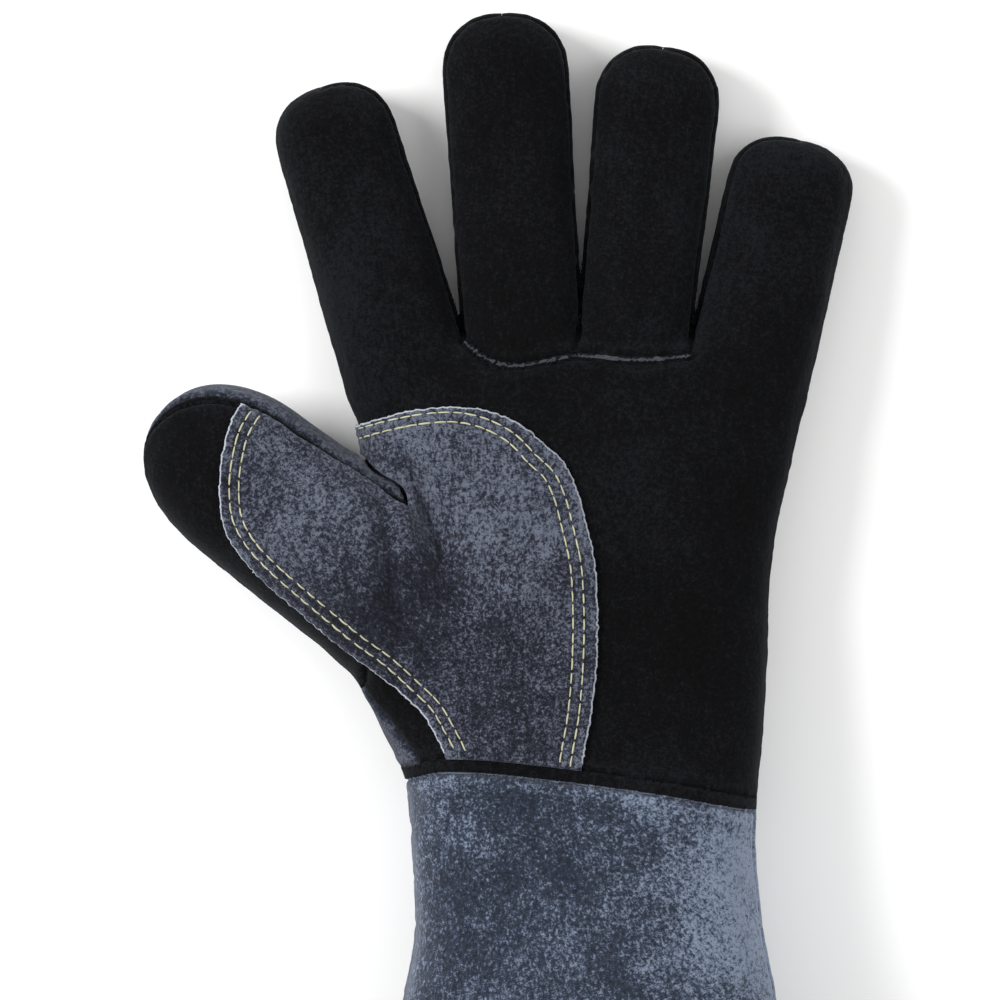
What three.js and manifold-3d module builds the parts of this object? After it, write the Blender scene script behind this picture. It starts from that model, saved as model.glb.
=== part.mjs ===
// A left-hand welding gauntlet of split cowhide, lying on its back with the palm up.
// Millimetres, +Z up, fingers towards +Y. The origin is under the middle of the glove's box.
//
// Palm, fingers, thumb and cuff are hollow forms skinned through rings. The wall between an outer
// form and the same form set in by the leather's thickness is cut along the seams into the pieces
// that a glove maker sews together, with a small gap in every seam.
import * as THREE from "three";
import { mergeVertices } from "three/addons/utils/BufferGeometryUtils.js";
import Module from "manifold-3d";

// Leather
const LEATHER = 2.0; // wall of hand and cuff
const PATCH_LEATHER = 1.4; // thickness of the reinforcement over thumb and palm
const SEAM_GAP = 0.3; // between neighbouring pieces

// Hand and cuff
const PALM_LENGTH = 114; // cuff seam to finger roots
const PALM_WIDTH = 132; // across the finger roots
const PALM_HEIGHT = 38; // thickness at mid palm
const WRIST_WIDTH = 99.5;
const WRIST_HEIGHT = 48;
const CUFF_LENGTH = 189;
const MOUTH_WIDTH = 137;
const MOUTH_HEIGHT = 92;

// Fingers
const FINGER_LENGTH = 104.5; // of the longest one, from the finger roots
const FINGER_WIDTH = 35.4; // of the widest tip
const FINGER_HEIGHT = 25; // thickness at the tips
const ROOT_HEIGHT = 31; // thickness at the roots
const FORK_WIDTH = 10; // height of the side strips between the fingers

// Thumb
const THUMB_LENGTH = 91.5;
const THUMB_WIDTH = 48;
const THUMB_HEIGHT = 41; // top of the thumb over the table
const THUMB_LEAN = -52.5; // degrees from the fingers' direction

// Trim
const WRIST_WELT = 3.4; // width of the band between hand and cuff
const FINGER_WELT = 1.3; // width of the strip in the seam under the middle fingers
const THUMB_WELT = 1.6; // width of the piping round the thumb
const WELT_PROUD = 0.6; // how far a welt stands out of the leather

// Section shape
const DIGIT_SQUARENESS = 0.78; // power of the rounded sections: 1 is an ellipse, less is squarer
const BODY_SQUARENESS = 0.68; // the same for palm and cuff
const TIP_SQUARENESS = 0.89; // the same for a fingertip seen from the front
const WIDEST = 0.46; // height of the widest line, as a share of the thickness
const SAG = 1.16; // depth under the widest line before the table flattens it, as a share of it
const FINGER_STEPS = 16; // corners of a finger's ring
const HAND_STEPS = 28; // corners of a ring of palm or cuff

// Fingers: across is the root's place as a share of half PALM_WIDTH, lean is in degrees to the right,
// length a share of FINGER_LENGTH, and the widths and the length of the rounded tip are shares of
// FINGER_WIDTH. Every finger has the same stations, from inside the palm to the start of the rounded
// tip: at is a share of the way from root to there, and wide, high and lift are shares of the
// finger's own width and thickness.
const FINGERS = {
  index: { across: -0.732, lean: -17, length: 0.832, rootWidth: 1.04, tipWidth: 0.965, tip: 0.45 },
  middle: { across: -0.234, lean: -3.7, length: 1, rootWidth: 0.955, tipWidth: 1, tip: 0.48 },
  ring: { across: 0.214, lean: 5.8, length: 0.912, rootWidth: 0.89, tipWidth: 0.99, tip: 0.48 },
  little: { across: 0.714, lean: 13.3, length: 0.67, rootWidth: 1.01, tipWidth: 1, tip: 0.38 },
};
const FINGER_STATIONS = [
  { at: -0.45, wide: 0.7, high: 0.8, lift: 0.3 },
  { at: -0.2, wide: 0.9, high: 0.94, lift: 0.1 },
  { at: 0, wide: 1, high: 1, lift: 0 },
  { at: 0.5, wide: 1, high: 1, lift: 0 },
  { at: 1, wide: 1, high: 1, lift: 0 },
];

// Palm, from the finger roots to the cuff seam: at is a share of PALM_LENGTH, left and right are
// shares of half PALM_WIDTH, and high is a share of PALM_HEIGHT.
const PALM_STATIONS = [
  { at: 1.105, left: 0.81, right: 0.78, high: 0.58 },
  { at: 1.08, left: 0.87, right: 0.84, high: 0.76 },
  { at: 1, left: 1, right: 0.99, high: 0.85 },
  { at: 0.875, left: 0.945, right: 0.94, high: 0.92 },
  { at: 0.75, left: 0.885, right: 0.89, high: 0.97 },
  { at: 0.6, left: 0.85, right: 0.834, high: 1 },
  { at: 0.45, left: 0.87, right: 0.808, high: 1.03 },
  { at: 0.325, left: 0.93, right: 0.802, high: 1.07 },
  { at: 0.245, left: 0.95, right: 0.797, high: 1.1 },
  { at: 0.2, left: 0.912, right: 0.793, high: 1.12 },
  { at: 0.1, left: 0.831, right: 0.781, high: 1.18 },
];

// Cuff, from the seam to the mouth: at is a share of CUFF_LENGTH, flare goes from the wrist's width
// at 0 to the mouth's at 1, rise does the same for the height, and shift moves the ring to the
// right by a share of half WRIST_WIDTH.
const CUFF_STATIONS = [
  { at: 0, flare: 0, rise: 0, shift: 0.01 },
  { at: 0.075, flare: -0.056, rise: 0.04, shift: 0.02 },
  { at: 0.21, flare: -0.048, rise: 0.15, shift: 0.051 },
  { at: 0.33, flare: 0.158, rise: 0.29, shift: 0.054 },
  { at: 0.6, flare: 0.52, rise: 0.6, shift: 0.06 },
  { at: 1, flare: 1, rise: 1, shift: 0.07 },
];

// Thumb, from inside the palm to the start of the rounded tip: at is a share of THUMB_LENGTH from
// the root, wide a share of THUMB_WIDTH, top and lift shares of THUMB_HEIGHT, and shift moves the
// section towards the cuff by a share of THUMB_WIDTH.
const THUMB_ROOT = { across: -0.704, along: 0.425 };
const THUMB_STATIONS = [
  { at: -0.6, wide: 0.7, top: 0.72, lift: 0.3, shift: 0.5 },
  { at: -0.3, wide: 0.86, top: 0.92, lift: 0.2, shift: 0.24 },
  { at: -0.08, wide: 0.96, top: 0.97, lift: 0.1, shift: 0.07 },
  { at: 0.16, wide: 1.02, top: 1, lift: 0.04, shift: 0 },
  { at: 0.4, wide: 1.02, top: 0.97, lift: 0.08, shift: 0 },
  { at: 0.63, wide: 0.995, top: 0.9, lift: 0.14, shift: 0 },
];
const THUMB_SEAM = { crotchSide: 0.84, outerSide: 0.4 }; // heights as shares of THUMB_HEIGHT

// Front-to-back seam heights, as shares of the thickness at each place
const HAND_SEAM = { left: 0.46, right: 0.46 };
const CUFF_SEAM = { left: 0.4, right: 0.66 };

// Seams seen from the front: across is a share of half PALM_WIDTH (or half WRIST_WIDTH in the
// wrist seam), and along a share of PALM_LENGTH.
const WRIST_SEAM = [
  { across: -1.6, along: 0.02 },
  { across: -0.983, along: 0.02 },
  { across: -0.857, along: 0.035 },
  { across: -0.571, along: 0.037 },
  { across: -0.286, along: 0.026 },
  { across: 0, along: 0.012 },
  { across: 0.457, along: -0.016 },
  { across: 0.983, along: -0.056 },
  { across: 1.6, along: -0.075 },
];
const FINGER_SEAM = [
  { across: -0.495, along: 1.092 },
  { across: -0.418, along: 1.055 },
  { across: -0.344, along: 1.036 },
  { across: -0.258, along: 1.032 },
  { across: -0.172, along: 1.039 },
  { across: -0.022, along: 1.055 },
  { across: 0.073, along: 1.053 },
  { across: 0.172, along: 1.048 },
  { across: 0.301, along: 1.047 },
  { across: 0.409, along: 1.052 },
  { across: 0.474, along: 1.057 },
];
const BACK_SEAM = [
  { across: -1.6, along: 0.235 },
  { across: -0.9, along: 0.235 },
  { across: -0.45, along: 0.33 },
  { across: 0, along: 0.36 },
  { across: 0.45, along: 0.33 },
  { across: 0.9, along: 0.235 },
  { across: 1.6, along: 0.235 },
];
const WRAP_SEAM = [
  { across: -1.3, along: 0.239 },
  { across: -0.939, along: 0.239 },
  { across: -0.896, along: 0.199 },
  { across: -0.827, along: 0.15 },
  { across: -0.754, along: 0.095 },
  { across: -0.711, along: 0.057 },
  { across: -0.62, along: -0.03 },
];
const PATCH_OUTLINE = [
  { across: -1.451, along: 0.935 },
  { across: -1.499, along: 0.885 },
  { across: -1.533, along: 0.81 },
  { across: -1.546, along: 0.723 },
  { across: -1.524, along: 0.636 },
  { across: -1.464, along: 0.573 },
  { across: -1.369, along: 0.511 },
  { across: -1.249, along: 0.449 },
  { across: -1.12, along: 0.386 },
  { across: -0.99, along: 0.324 },
  { across: -0.861, along: 0.269 },
  { across: -0.754, along: 0.212 },
  { across: -0.667, along: 0.162 },
  { across: -0.616, along: 0.112 },
  { across: -0.573, along: 0.062 },
  { across: -0.551, along: 0 },
  { across: -0.013, along: -0.02 },
  { across: 0.013, along: 0.062 },
  { across: 0.043, along: 0.15 },
  { across: 0.06, along: 0.224 },
  { across: 0.073, along: 0.324 },
  { across: 0.073, along: 0.449 },
  { across: 0.06, along: 0.548 },
  { across: 0.022, along: 0.648 },
  { across: -0.013, along: 0.723 },
  { across: -0.065, along: 0.785 },
  { across: -0.151, along: 0.835 },
  { across: -0.258, along: 0.885 },
  { across: -0.388, along: 0.917 },
  { across: -0.517, along: 0.927 },
  { across: -0.646, along: 0.925 },
  { across: -0.797, along: 0.91 },
  { across: -0.99, along: 0.88 },
];

// Folds: a row is a long dent at across and along, with its length and width as shares of
// PALM_LENGTH, its direction in degrees from the fingers' direction and its depth as a share of
// PALM_HEIGHT.
const FOLDS = [
  { across: -0.64, along: 0.6, length: 0.16, width: 0.075, turn: -18, depth: 0.09 },
  { across: -0.66, along: 0.42, length: 0.14, width: 0.1, turn: -20, depth: 0.05 },
  { across: -0.5, along: 0.22, length: 0.18, width: 0.12, turn: -30, depth: 0.05 },
  { across: 0.35, along: 0.5, length: 0.3, width: 0.2, turn: 10, depth: 0.05 },
  { across: -0.2, along: -0.45, length: 0.3, width: 0.13, turn: -16, depth: 0.06 },
  { across: 0.35, along: -0.8, length: 0.36, width: 0.14, turn: 14, depth: 0.07 },
];

const BLACK_SUEDE = new THREE.MeshStandardMaterial({ color: 0x151517, roughness: 0.95, metalness: 0 });
const GREY_SUEDE = new THREE.MeshStandardMaterial({ color: 0x474b59, roughness: 0.92, metalness: 0 });

const FAR = 600; // reach of cutting blocks, past every piece
const MOUTH_OVERRUN = 3; // the hollow runs out of the mouth by this many thicknesses of leather
const EPSILON_STEP = 0.86; // last ring of a rounded tip, as a share of a quarter turn
const UP = new THREE.Vector3(0, 0, 1);

const wasm = await Module();
wasm.setup();

const mix = THREE.MathUtils.lerp;
const signedPower = (value, power) => Math.sign(value) * Math.abs(value) ** power;
const planPoint = ({ across, along }) =>
  new THREE.Vector2((across * PALM_WIDTH) / 2, along * PALM_LENGTH);
const wristPoint = ({ across, along }) =>
  new THREE.Vector2((across * WRIST_WIDTH) / 2, along * PALM_LENGTH);

// A closed geometry as a solid that can be joined and cut.
function solidOf(geometry) {
  const bare = geometry.clone();
  bare.deleteAttribute("normal");
  bare.deleteAttribute("uv");
  const merged = mergeVertices(bare, 1e-4);
  return new wasm.Manifold(
    new wasm.Mesh({
      numProp: 3,
      vertProperties: merged.attributes.position.array,
      triVerts: new Uint32Array(merged.index.array),
    }),
  );
}

// A solid skinned through rings of equally many corners, closed at both ends by a fan to its tip.
function skin(rings, startTip, endTip) {
  const count = rings[0].length;
  const last = (rings.length - 1) * count;
  const points = [...rings.flat(), startTip, endTip];
  const faces = [];
  for (let corner = 0; corner < count; corner += 1) {
    const next = (corner + 1) % count;
    for (let row = 0; row < last; row += count) {
      faces.push(row + corner, row + next, row + count + next);
      faces.push(row + corner, row + count + next, row + count + corner);
    }
    faces.push(points.length - 2, next, corner);
    faces.push(points.length - 1, last + corner, last + next);
  }
  const geometry = new THREE.BufferGeometry().setFromPoints(points);
  geometry.setIndex(faces);
  return solidOf(geometry);
}

// How far the folds press the top of the leather down at a place of the plan.
function foldDepth(place) {
  return FOLDS.reduce((depth, fold) => {
    const { axis, side } = directions(fold.turn);
    const centre = planPoint(fold);
    const away = place.clone().sub(new THREE.Vector3(centre.x, centre.y, place.z));
    const lengthwise = away.dot(axis) / (fold.length * PALM_LENGTH);
    const crosswise = away.dot(side) / (fold.width * PALM_LENGTH);
    return depth + fold.depth * PALM_HEIGHT * Math.exp(-(lengthwise ** 2) - crosswise ** 2);
  }, 0);
}

// One ring of a hollow form lying on the table: rounded, and flat where it rests. Scale shrinks it
// towards its widest line for a fingertip, and offset grows it for an outer layer. The folds press
// every layer alike.
function ring({ centre, side, halfWidth, bottom, top, steps, squareness, scale = 1, offset = 0 }) {
  const widest = mix(bottom, top, WIDEST);
  return Array.from({ length: steps }, (_, corner) => {
    const turn = (corner / steps) * 2 * Math.PI;
    const across = scale * signedPower(Math.cos(turn), squareness);
    const upright = scale * signedPower(Math.sin(turn), squareness);
    const depth = upright > 0 ? top - widest : (widest - bottom) * SAG;
    const height = Math.max(widest + (depth + offset) * upright, bottom - offset);
    const pressed = foldDepth(centre.clone().addScaledVector(side, halfWidth * across));
    return centre
      .clone()
      .addScaledVector(side, (halfWidth + offset) * across)
      .setZ(height - pressed * Math.max(upright, 0));
  });
}

const meanOf = (points) =>
  points
    .reduce((sum, point) => sum.add(point), new THREE.Vector3())
    .divideScalar(points.length);

// A digit's own directions: axis to the tip, and side to its left seen from the front.
function directions(lean) {
  const angle = THREE.MathUtils.degToRad(lean);
  const axis = new THREE.Vector3(Math.sin(angle), Math.cos(angle), 0);
  return { axis, side: new THREE.Vector3().crossVectors(UP, axis) };
}

// A finger or thumb: straight rings along its axis, then a rounded tip.
function digit({ root, axis, side, sections, length, tip, steps }, offset) {
  const shape = { side, steps, offset, squareness: DIGIT_SQUARENESS };
  const rings = sections.map((section) => {
    const centre = root.clone().addScaledVector(axis, section.at).addScaledVector(side, section.shift);
    return ring({ ...section, ...shape, centre });
  });
  const start = sections[sections.length - 1];
  const turns = [0.3, 0.55, 0.75, EPSILON_STEP].map((share) => (share * Math.PI) / 2);
  for (const turn of turns) {
    const at = length - tip + (tip + offset) * Math.sin(turn) ** TIP_SQUARENESS;
    const centre = root.clone().addScaledVector(axis, at);
    const scale = Math.cos(turn) ** TIP_SQUARENESS;
    rings.push(ring({ ...start, ...shape, centre, scale }));
  }
  const pole = root.clone().addScaledVector(axis, length + offset);
  pole.setZ(mix(start.bottom, start.top, WIDEST));
  return skin(rings, meanOf(rings[0]), pole);
}

// The four fingers' places and sections, worked out from their tables.
const fingers = Object.fromEntries(
  Object.entries(FINGERS).map(([name, finger]) => {
    const place = planPoint({ across: finger.across, along: 1 });
    const length = finger.length * FINGER_LENGTH;
    const tip = finger.tip * FINGER_WIDTH;
    const section = ({ at, wide, high, lift }) => {
      const width = mix(finger.rootWidth, finger.tipWidth, Math.max(at, 0)) * FINGER_WIDTH;
      const height = mix(ROOT_HEIGHT, FINGER_HEIGHT, Math.max(at, 0));
      return {
        at: at * (length - tip),
        shift: 0,
        halfWidth: (wide * width) / 2,
        bottom: lift * height,
        top: high * height,
      };
    };
    const root = new THREE.Vector3(place.x, place.y, 0);
    const sections = FINGER_STATIONS.map(section);
    const halfRoot = (finger.rootWidth * FINGER_WIDTH) / 2;
    const parts = { root, length, tip, sections, halfRoot, steps: FINGER_STEPS };
    return [name, { ...directions(finger.lean), ...parts }];
  }),
);

const thumb = (() => {
  const place = planPoint(THUMB_ROOT);
  const last = THUMB_STATIONS[THUMB_STATIONS.length - 1];
  return {
    ...directions(THUMB_LEAN),
    root: new THREE.Vector3(place.x, place.y, 0),
    length: THUMB_LENGTH,
    tip: THUMB_LENGTH * (1 - last.at),
    steps: FINGER_STEPS + 4,
    sections: THUMB_STATIONS.map(({ at, wide, top, lift, shift }) => ({
      at: at * THUMB_LENGTH,
      shift: shift * THUMB_WIDTH,
      halfWidth: (wide * THUMB_WIDTH) / 2,
      bottom: lift * THUMB_HEIGHT,
      top: top * THUMB_HEIGHT,
    })),
  };
})();

// Palm and cuff as one run of stations, from the mouth to the finger roots. The wall's offset moves
// the two end rings along the glove too: the mouth is open, and the web between the fingers is shut.
const stations = [
  ...CUFF_STATIONS.map(({ at, flare, rise, shift }) => {
    const half = mix(WRIST_WIDTH, MOUTH_WIDTH, flare) / 2;
    const middle = (shift * WRIST_WIDTH) / 2;
    return {
      y: -at * CUFF_LENGTH,
      left: middle - half,
      right: middle + half,
      top: mix(WRIST_HEIGHT, MOUTH_HEIGHT, rise),
      follow: at === 1 ? MOUTH_OVERRUN : 0,
    };
  }).reverse(),
  ...PALM_STATIONS.map(({ at, left, right, high }, row) => ({
    y: at * PALM_LENGTH,
    left: (-left * PALM_WIDTH) / 2,
    right: (right * PALM_WIDTH) / 2,
    top: high * PALM_HEIGHT,
    follow: row === 0 ? 1 : 0,
  })).reverse(),
];

function bodyForm(offset) {
  const side = new THREE.Vector3(-1, 0, 0);
  const rings = stations.map(({ y, left, right, top, follow }) =>
    ring({
      centre: new THREE.Vector3((left + right) / 2, y + follow * offset, 0),
      side,
      halfWidth: (right - left) / 2,
      bottom: 0,
      top,
      steps: HAND_STEPS,
      squareness: BODY_SQUARENESS,
      offset,
    }),
  );
  return skin(rings, meanOf(rings[0]), meanOf(rings[rings.length - 1]));
}

const handForm = (offset) =>
  Object.values(fingers).reduce((form, finger) => form.add(digit(finger, offset)), bodyForm(offset));
const thumbForm = (offset) => digit(thumb, offset);

// An upright block over a closed plan outline.
function overPlan(outline) {
  const geometry = new THREE.ExtrudeGeometry(new THREE.Shape(outline), {
    depth: 2 * FAR,
    bevelEnabled: false,
  });
  return solidOf(geometry.translate(0, 0, -FAR));
}

// An upright wall of the given width along an open plan line.
function alongPlan(line, width) {
  const edge = (sign) =>
    line.map((point, index) => {
      const before = line[Math.max(index - 1, 0)];
      const after = line[Math.min(index + 1, line.length - 1)];
      const run = after.clone().sub(before).normalize();
      return new THREE.Vector2(-run.y, run.x).multiplyScalar((sign * width) / 2).add(point);
    });
  return overPlan([...edge(-1), ...edge(1).reverse()]);
}

// Everything over a sheet that runs down the glove at a share of its thickness.
const profile = [
  { y: -FAR, top: MOUTH_HEIGHT },
  ...stations.slice(0, -1),
  { y: PALM_LENGTH, top: ROOT_HEIGHT },
  { y: PALM_LENGTH + fingers.little.length, top: FINGER_HEIGHT },
  { y: FAR, top: FINGER_HEIGHT },
].filter((row, index, rows) => index === 0 || row.y > rows[index - 1].y);

function overSheet({ left, right }, lift) {
  const reach = PALM_WIDTH / 2;
  const edges = [
    { x: FAR, share: right },
    { x: reach, share: right },
    { x: -reach, share: left },
    { x: -FAR, share: left },
  ];
  const rings = profile.map(({ y, top }) => [
    ...edges.map(({ x, share }) => new THREE.Vector3(x, y, share * top + lift)),
    new THREE.Vector3(-FAR, y, FAR),
    new THREE.Vector3(FAR, y, FAR),
  ]);
  return skin(rings, meanOf(rings[0]), meanOf(rings[rings.length - 1]));
}

// Everything over the thumb's own seam, a plane that is higher on the side of the crotch.
function overThumbSeam(lift) {
  const rise = (THUMB_SEAM.outerSide - THUMB_SEAM.crotchSide) * THUMB_HEIGHT;
  const middle = ((THUMB_SEAM.outerSide + THUMB_SEAM.crotchSide) / 2) * THUMB_HEIGHT;
  const across = thumb.side.clone().multiplyScalar(THUMB_WIDTH).setZ(rise).normalize();
  const normal = new THREE.Vector3().crossVectors(thumb.axis, across);
  const block = new THREE.BoxGeometry(FAR, FAR, FAR);
  block.translate(0, 0, FAR / 2 + lift);
  block.applyMatrix4(new THREE.Matrix4().makeBasis(across, thumb.axis.clone().negate(), normal));
  block.translate(thumb.root.x, thumb.root.y, middle);
  return solidOf(block);
}

// A point beside a finger's axis, at a distance from its root.
const besideFinger = (finger, at, side) =>
  new THREE.Vector2(finger.root.x, finger.root.y)
    .addScaledVector(new THREE.Vector2(finger.axis.x, finger.axis.y), at)
    .addScaledVector(new THREE.Vector2(finger.side.x, finger.side.y), side);

// The line from a point of the finger seam up the gap between two neighbouring fingers.
function dividerBetween(left, right, foot) {
  const between = (at) =>
    besideFinger(left, at, -left.halfRoot)
      .add(besideFinger(right, at, right.halfRoot))
      .divideScalar(2);
  return [foot, between(left.tip), between(left.length), between(2 * left.length)];
}

// The plan zone between two fingers' axes, where side strips join front and back.
const forkZone = (left, right, inset) =>
  overPlan([
    besideFinger(left, 0, -inset),
    besideFinger(right, 0, inset),
    besideFinger(right, right.length * 1.5, inset),
    besideFinger(left, left.length * 1.5, -inset),
  ]);

// An open plan line made longer at both ends.
function lengthened(line, length) {
  const beyond = (end, inner) => end.clone().sub(inner).setLength(length).add(end);
  const last = line.length - 1;
  return [beyond(line[0], line[1]), ...line, beyond(line[last], line[last - 1])];
}

const half = SEAM_GAP / 2;
const everything = solidOf(new THREE.BoxGeometry(2 * FAR, 2 * FAR, 2 * FAR));
const under = (over) => everything.subtract(over);
const together = (solids) => solids.reduce((all, solid) => all.add(solid));

// Hollow forms
const handHollow = handForm(-LEATHER);
const thumbHollow = thumbForm(-LEATHER);
const handShell = handForm(0).subtract(handHollow).subtract(thumbHollow);
const handGuard = handForm(SEAM_GAP);

// The wrist seam parts hand and cuff
const wristLine = WRIST_SEAM.map(wristPoint);
const handZone = overPlan([...wristLine, new THREE.Vector2(FAR, FAR), new THREE.Vector2(-FAR, FAR)]);
const handWall = handShell
  .intersect(handZone)
  .subtract(alongPlan(wristLine, WRIST_WELT + 2 * SEAM_GAP));
const cuffWall = handShell.subtract(handZone).subtract(alongPlan(wristLine, WRIST_WELT + 2 * SEAM_GAP));
const aboveTable = overSheet({ left: 0, right: 0 }, 0);
const wristWelt = bodyForm(WELT_PROUD)
  .subtract(handHollow)
  .intersect(alongPlan(wristLine, WRIST_WELT))
  .intersect(aboveTable);
const cuffFront = cuffWall.intersect(overSheet(CUFF_SEAM, half));
const cuffBack = cuffWall.subtract(overSheet(CUFF_SEAM, -half));

// Side strips between the fingers join front and back
const pairs = [
  [fingers.index, fingers.middle],
  [fingers.middle, fingers.ring],
  [fingers.ring, fingers.little],
];
const forkShare = FORK_WIDTH / (2 * FINGER_HEIGHT);
const forkLow = { left: HAND_SEAM.left - forkShare, right: HAND_SEAM.right - forkShare };
const forkHigh = { left: HAND_SEAM.left + forkShare, right: HAND_SEAM.right + forkShare };
const forkBand = overSheet(forkLow, half).subtract(overSheet(forkHigh, -half));
const forkStrips = pairs.map((pair) => handWall.intersect(forkZone(...pair, SEAM_GAP)).intersect(forkBand));
const forks = together(pairs.map((pair) => forkZone(...pair, 0)));
const handFront = handWall
  .intersect(overSheet(HAND_SEAM, half))
  .subtract(forks.subtract(overSheet(forkHigh, half)));
const handBack = handWall
  .subtract(overSheet(HAND_SEAM, -half))
  .subtract(forks.intersect(overSheet(forkLow, -half)));

// A seam under the middle and ring fingers parts their fronts from the palm
const fingerLine = FINGER_SEAM.map(planPoint);
const splitAt = Math.floor(fingerLine.length / 2);
const feet = [fingerLine[0], fingerLine[splitAt], fingerLine[fingerLine.length - 1]];
const dividers = pairs.map((pair, index) => dividerBetween(...pair, feet[index]));
const zoneBetween = (foot, left, right) => overPlan([...foot, ...right.slice(1), ...left.slice(1).reverse()]);
const middleZone = zoneBetween(fingerLine.slice(0, splitAt + 1), dividers[0], dividers[1]);
const ringZone = zoneBetween(fingerLine.slice(splitAt), dividers[1], dividers[2]);
const fingerGaps = together([
  alongPlan(lengthened(fingerLine, SEAM_GAP), FINGER_WELT + 2 * SEAM_GAP),
  ...dividers.map((line) => alongPlan(line, SEAM_GAP)),
]);
const fingerFronts = handFront.subtract(fingerGaps);
const fingerWelt = handForm(WELT_PROUD)
  .subtract(handHollow)
  .intersect(overSheet(forkHigh, half))
  .intersect(alongPlan(fingerLine, FINGER_WELT));

// The lower back of the hand is a piece of its own that wraps to the front beside the wrist
const wrapLine = WRAP_SEAM.map(planPoint);
const wrapZone = overPlan([...wrapLine, new THREE.Vector2(-FAR, -FAR), new THREE.Vector2(-FAR, wrapLine[0].y)]);
const wrapGap = alongPlan(wrapLine, SEAM_GAP).intersect(overSheet(HAND_SEAM, -half));
const backLine = BACK_SEAM.map(planPoint);
const backZone = overPlan([...backLine, new THREE.Vector2(FAR, -FAR), new THREE.Vector2(-FAR, -FAR)]);
const backGap = alongPlan(backLine, SEAM_GAP);
const palmFront = fingerFronts
  .subtract(middleZone)
  .subtract(ringZone)
  .subtract(wrapZone)
  .subtract(wrapGap);
const fingerBacks = handBack.subtract(backZone).subtract(backGap).subtract(wrapZone);
const wrapped = handWall.intersect(wrapZone).intersect(overSheet(HAND_SEAM, -2 * LEATHER));
const handBackLower = handBack.intersect(backZone).add(wrapped).subtract(backGap).subtract(wrapGap);

// The thumb is set into the side of the hand, with piping round its seam
const thumbWall = thumbForm(0).subtract(thumbHollow).subtract(handGuard);
const overThumb = overThumbSeam(THUMB_WELT / 2 + SEAM_GAP);
const patchTop = SEAM_GAP + PATCH_LEATHER;
const thumbPiping = thumbForm(WELT_PROUD)
  .subtract(thumbHollow)
  .subtract(handForm(patchTop + SEAM_GAP))
  .intersect(overThumbSeam(-THUMB_WELT / 2))
  .subtract(overThumbSeam(THUMB_WELT / 2));

// The reinforcement lies over thumb and palm
const patch = handForm(patchTop)
  .add(thumbForm(patchTop).intersect(overThumb))
  .subtract(handGuard)
  .subtract(thumbForm(SEAM_GAP))
  .intersect(overPlan(PATCH_OUTLINE.map(planPoint)))
  .intersect(overSheet(HAND_SEAM, SEAM_GAP))
  .intersect(handZone)
  .subtract(alongPlan(wristLine, WRIST_WELT + 4 * SEAM_GAP));

function largestBody(solid) {
  const bodies = solid.decompose();
  return bodies.reduce((best, body) => (body.volume() > best.volume() ? body : best));
}

function piece(name, solid, material) {
  const { numProp, vertProperties, triVerts } = largestBody(solid).getMesh();
  const geometry = new THREE.BufferGeometry();
  const positions = new Float32Array((vertProperties.length / numProp) * 3);
  for (let index = 0; index < positions.length / 3; index += 1) {
    positions.set(vertProperties.subarray(index * numProp, index * numProp + 3), index * 3);
  }
  geometry.setAttribute("position", new THREE.BufferAttribute(positions, 3));
  geometry.setIndex(new THREE.BufferAttribute(triVerts, 1));
  geometry.computeVertexNormals();
  const mesh = new THREE.Mesh(geometry, material);
  mesh.name = name;
  return mesh;
}

const glove = new THREE.Group();
glove.add(
  piece("palm_front", palmFront, BLACK_SUEDE),
  piece("middle_front", fingerFronts.intersect(middleZone), BLACK_SUEDE),
  piece("ring_front", fingerFronts.intersect(ringZone), BLACK_SUEDE),
  piece("finger_base_welt", fingerWelt, BLACK_SUEDE),
  piece("fourchette_index_middle", forkStrips[0], BLACK_SUEDE),
  piece("fourchette_middle_ring", forkStrips[1], BLACK_SUEDE),
  piece("fourchette_ring_little", forkStrips[2], BLACK_SUEDE),
  piece("back_fingers", fingerBacks, BLACK_SUEDE),
  piece("back_hand", handBackLower, GREY_SUEDE),
  piece("thumb_front", thumbWall.intersect(overThumb), BLACK_SUEDE),
  piece("thumb_back", thumbWall.subtract(overThumbSeam(-THUMB_WELT / 2 - SEAM_GAP)), GREY_SUEDE),
  piece("thumb_welt", thumbPiping, BLACK_SUEDE),
  piece("palm_patch", patch, GREY_SUEDE),
  piece("wrist_welt", wristWelt, BLACK_SUEDE),
  piece("cuff_front", cuffFront, GREY_SUEDE),
  piece("cuff_back", cuffBack, GREY_SUEDE),
);

// The origin goes under the middle of the glove's box
const box = new THREE.Box3().setFromObject(glove);
const middle = box.getCenter(new THREE.Vector3());
glove.position.set(-middle.x, -middle.y, -box.min.z);

export default glove;
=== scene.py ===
"""Looks of a left-hand welding gauntlet of split leather, lying palm up.

One smooth outer skin is made of palm, fingers, thumb and cuff, cut along the seams into the pieces
that a glove maker sews together, creased, drawn in at the seams, and given its thickness. The
reinforcement lies over it, with its two rows of stitches. Shapes are worked out in millimetres, in
the hand's own axes (x across, y from the cuff seam to the fingertips, z up), and become metres in
the frame's axes only when a mesh is made.
"""

import math
from functools import cache

import bpy
import numpy as np
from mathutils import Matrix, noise
from mathutils.bvhtree import BVHTree
from mathutils.kdtree import KDTree


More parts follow.
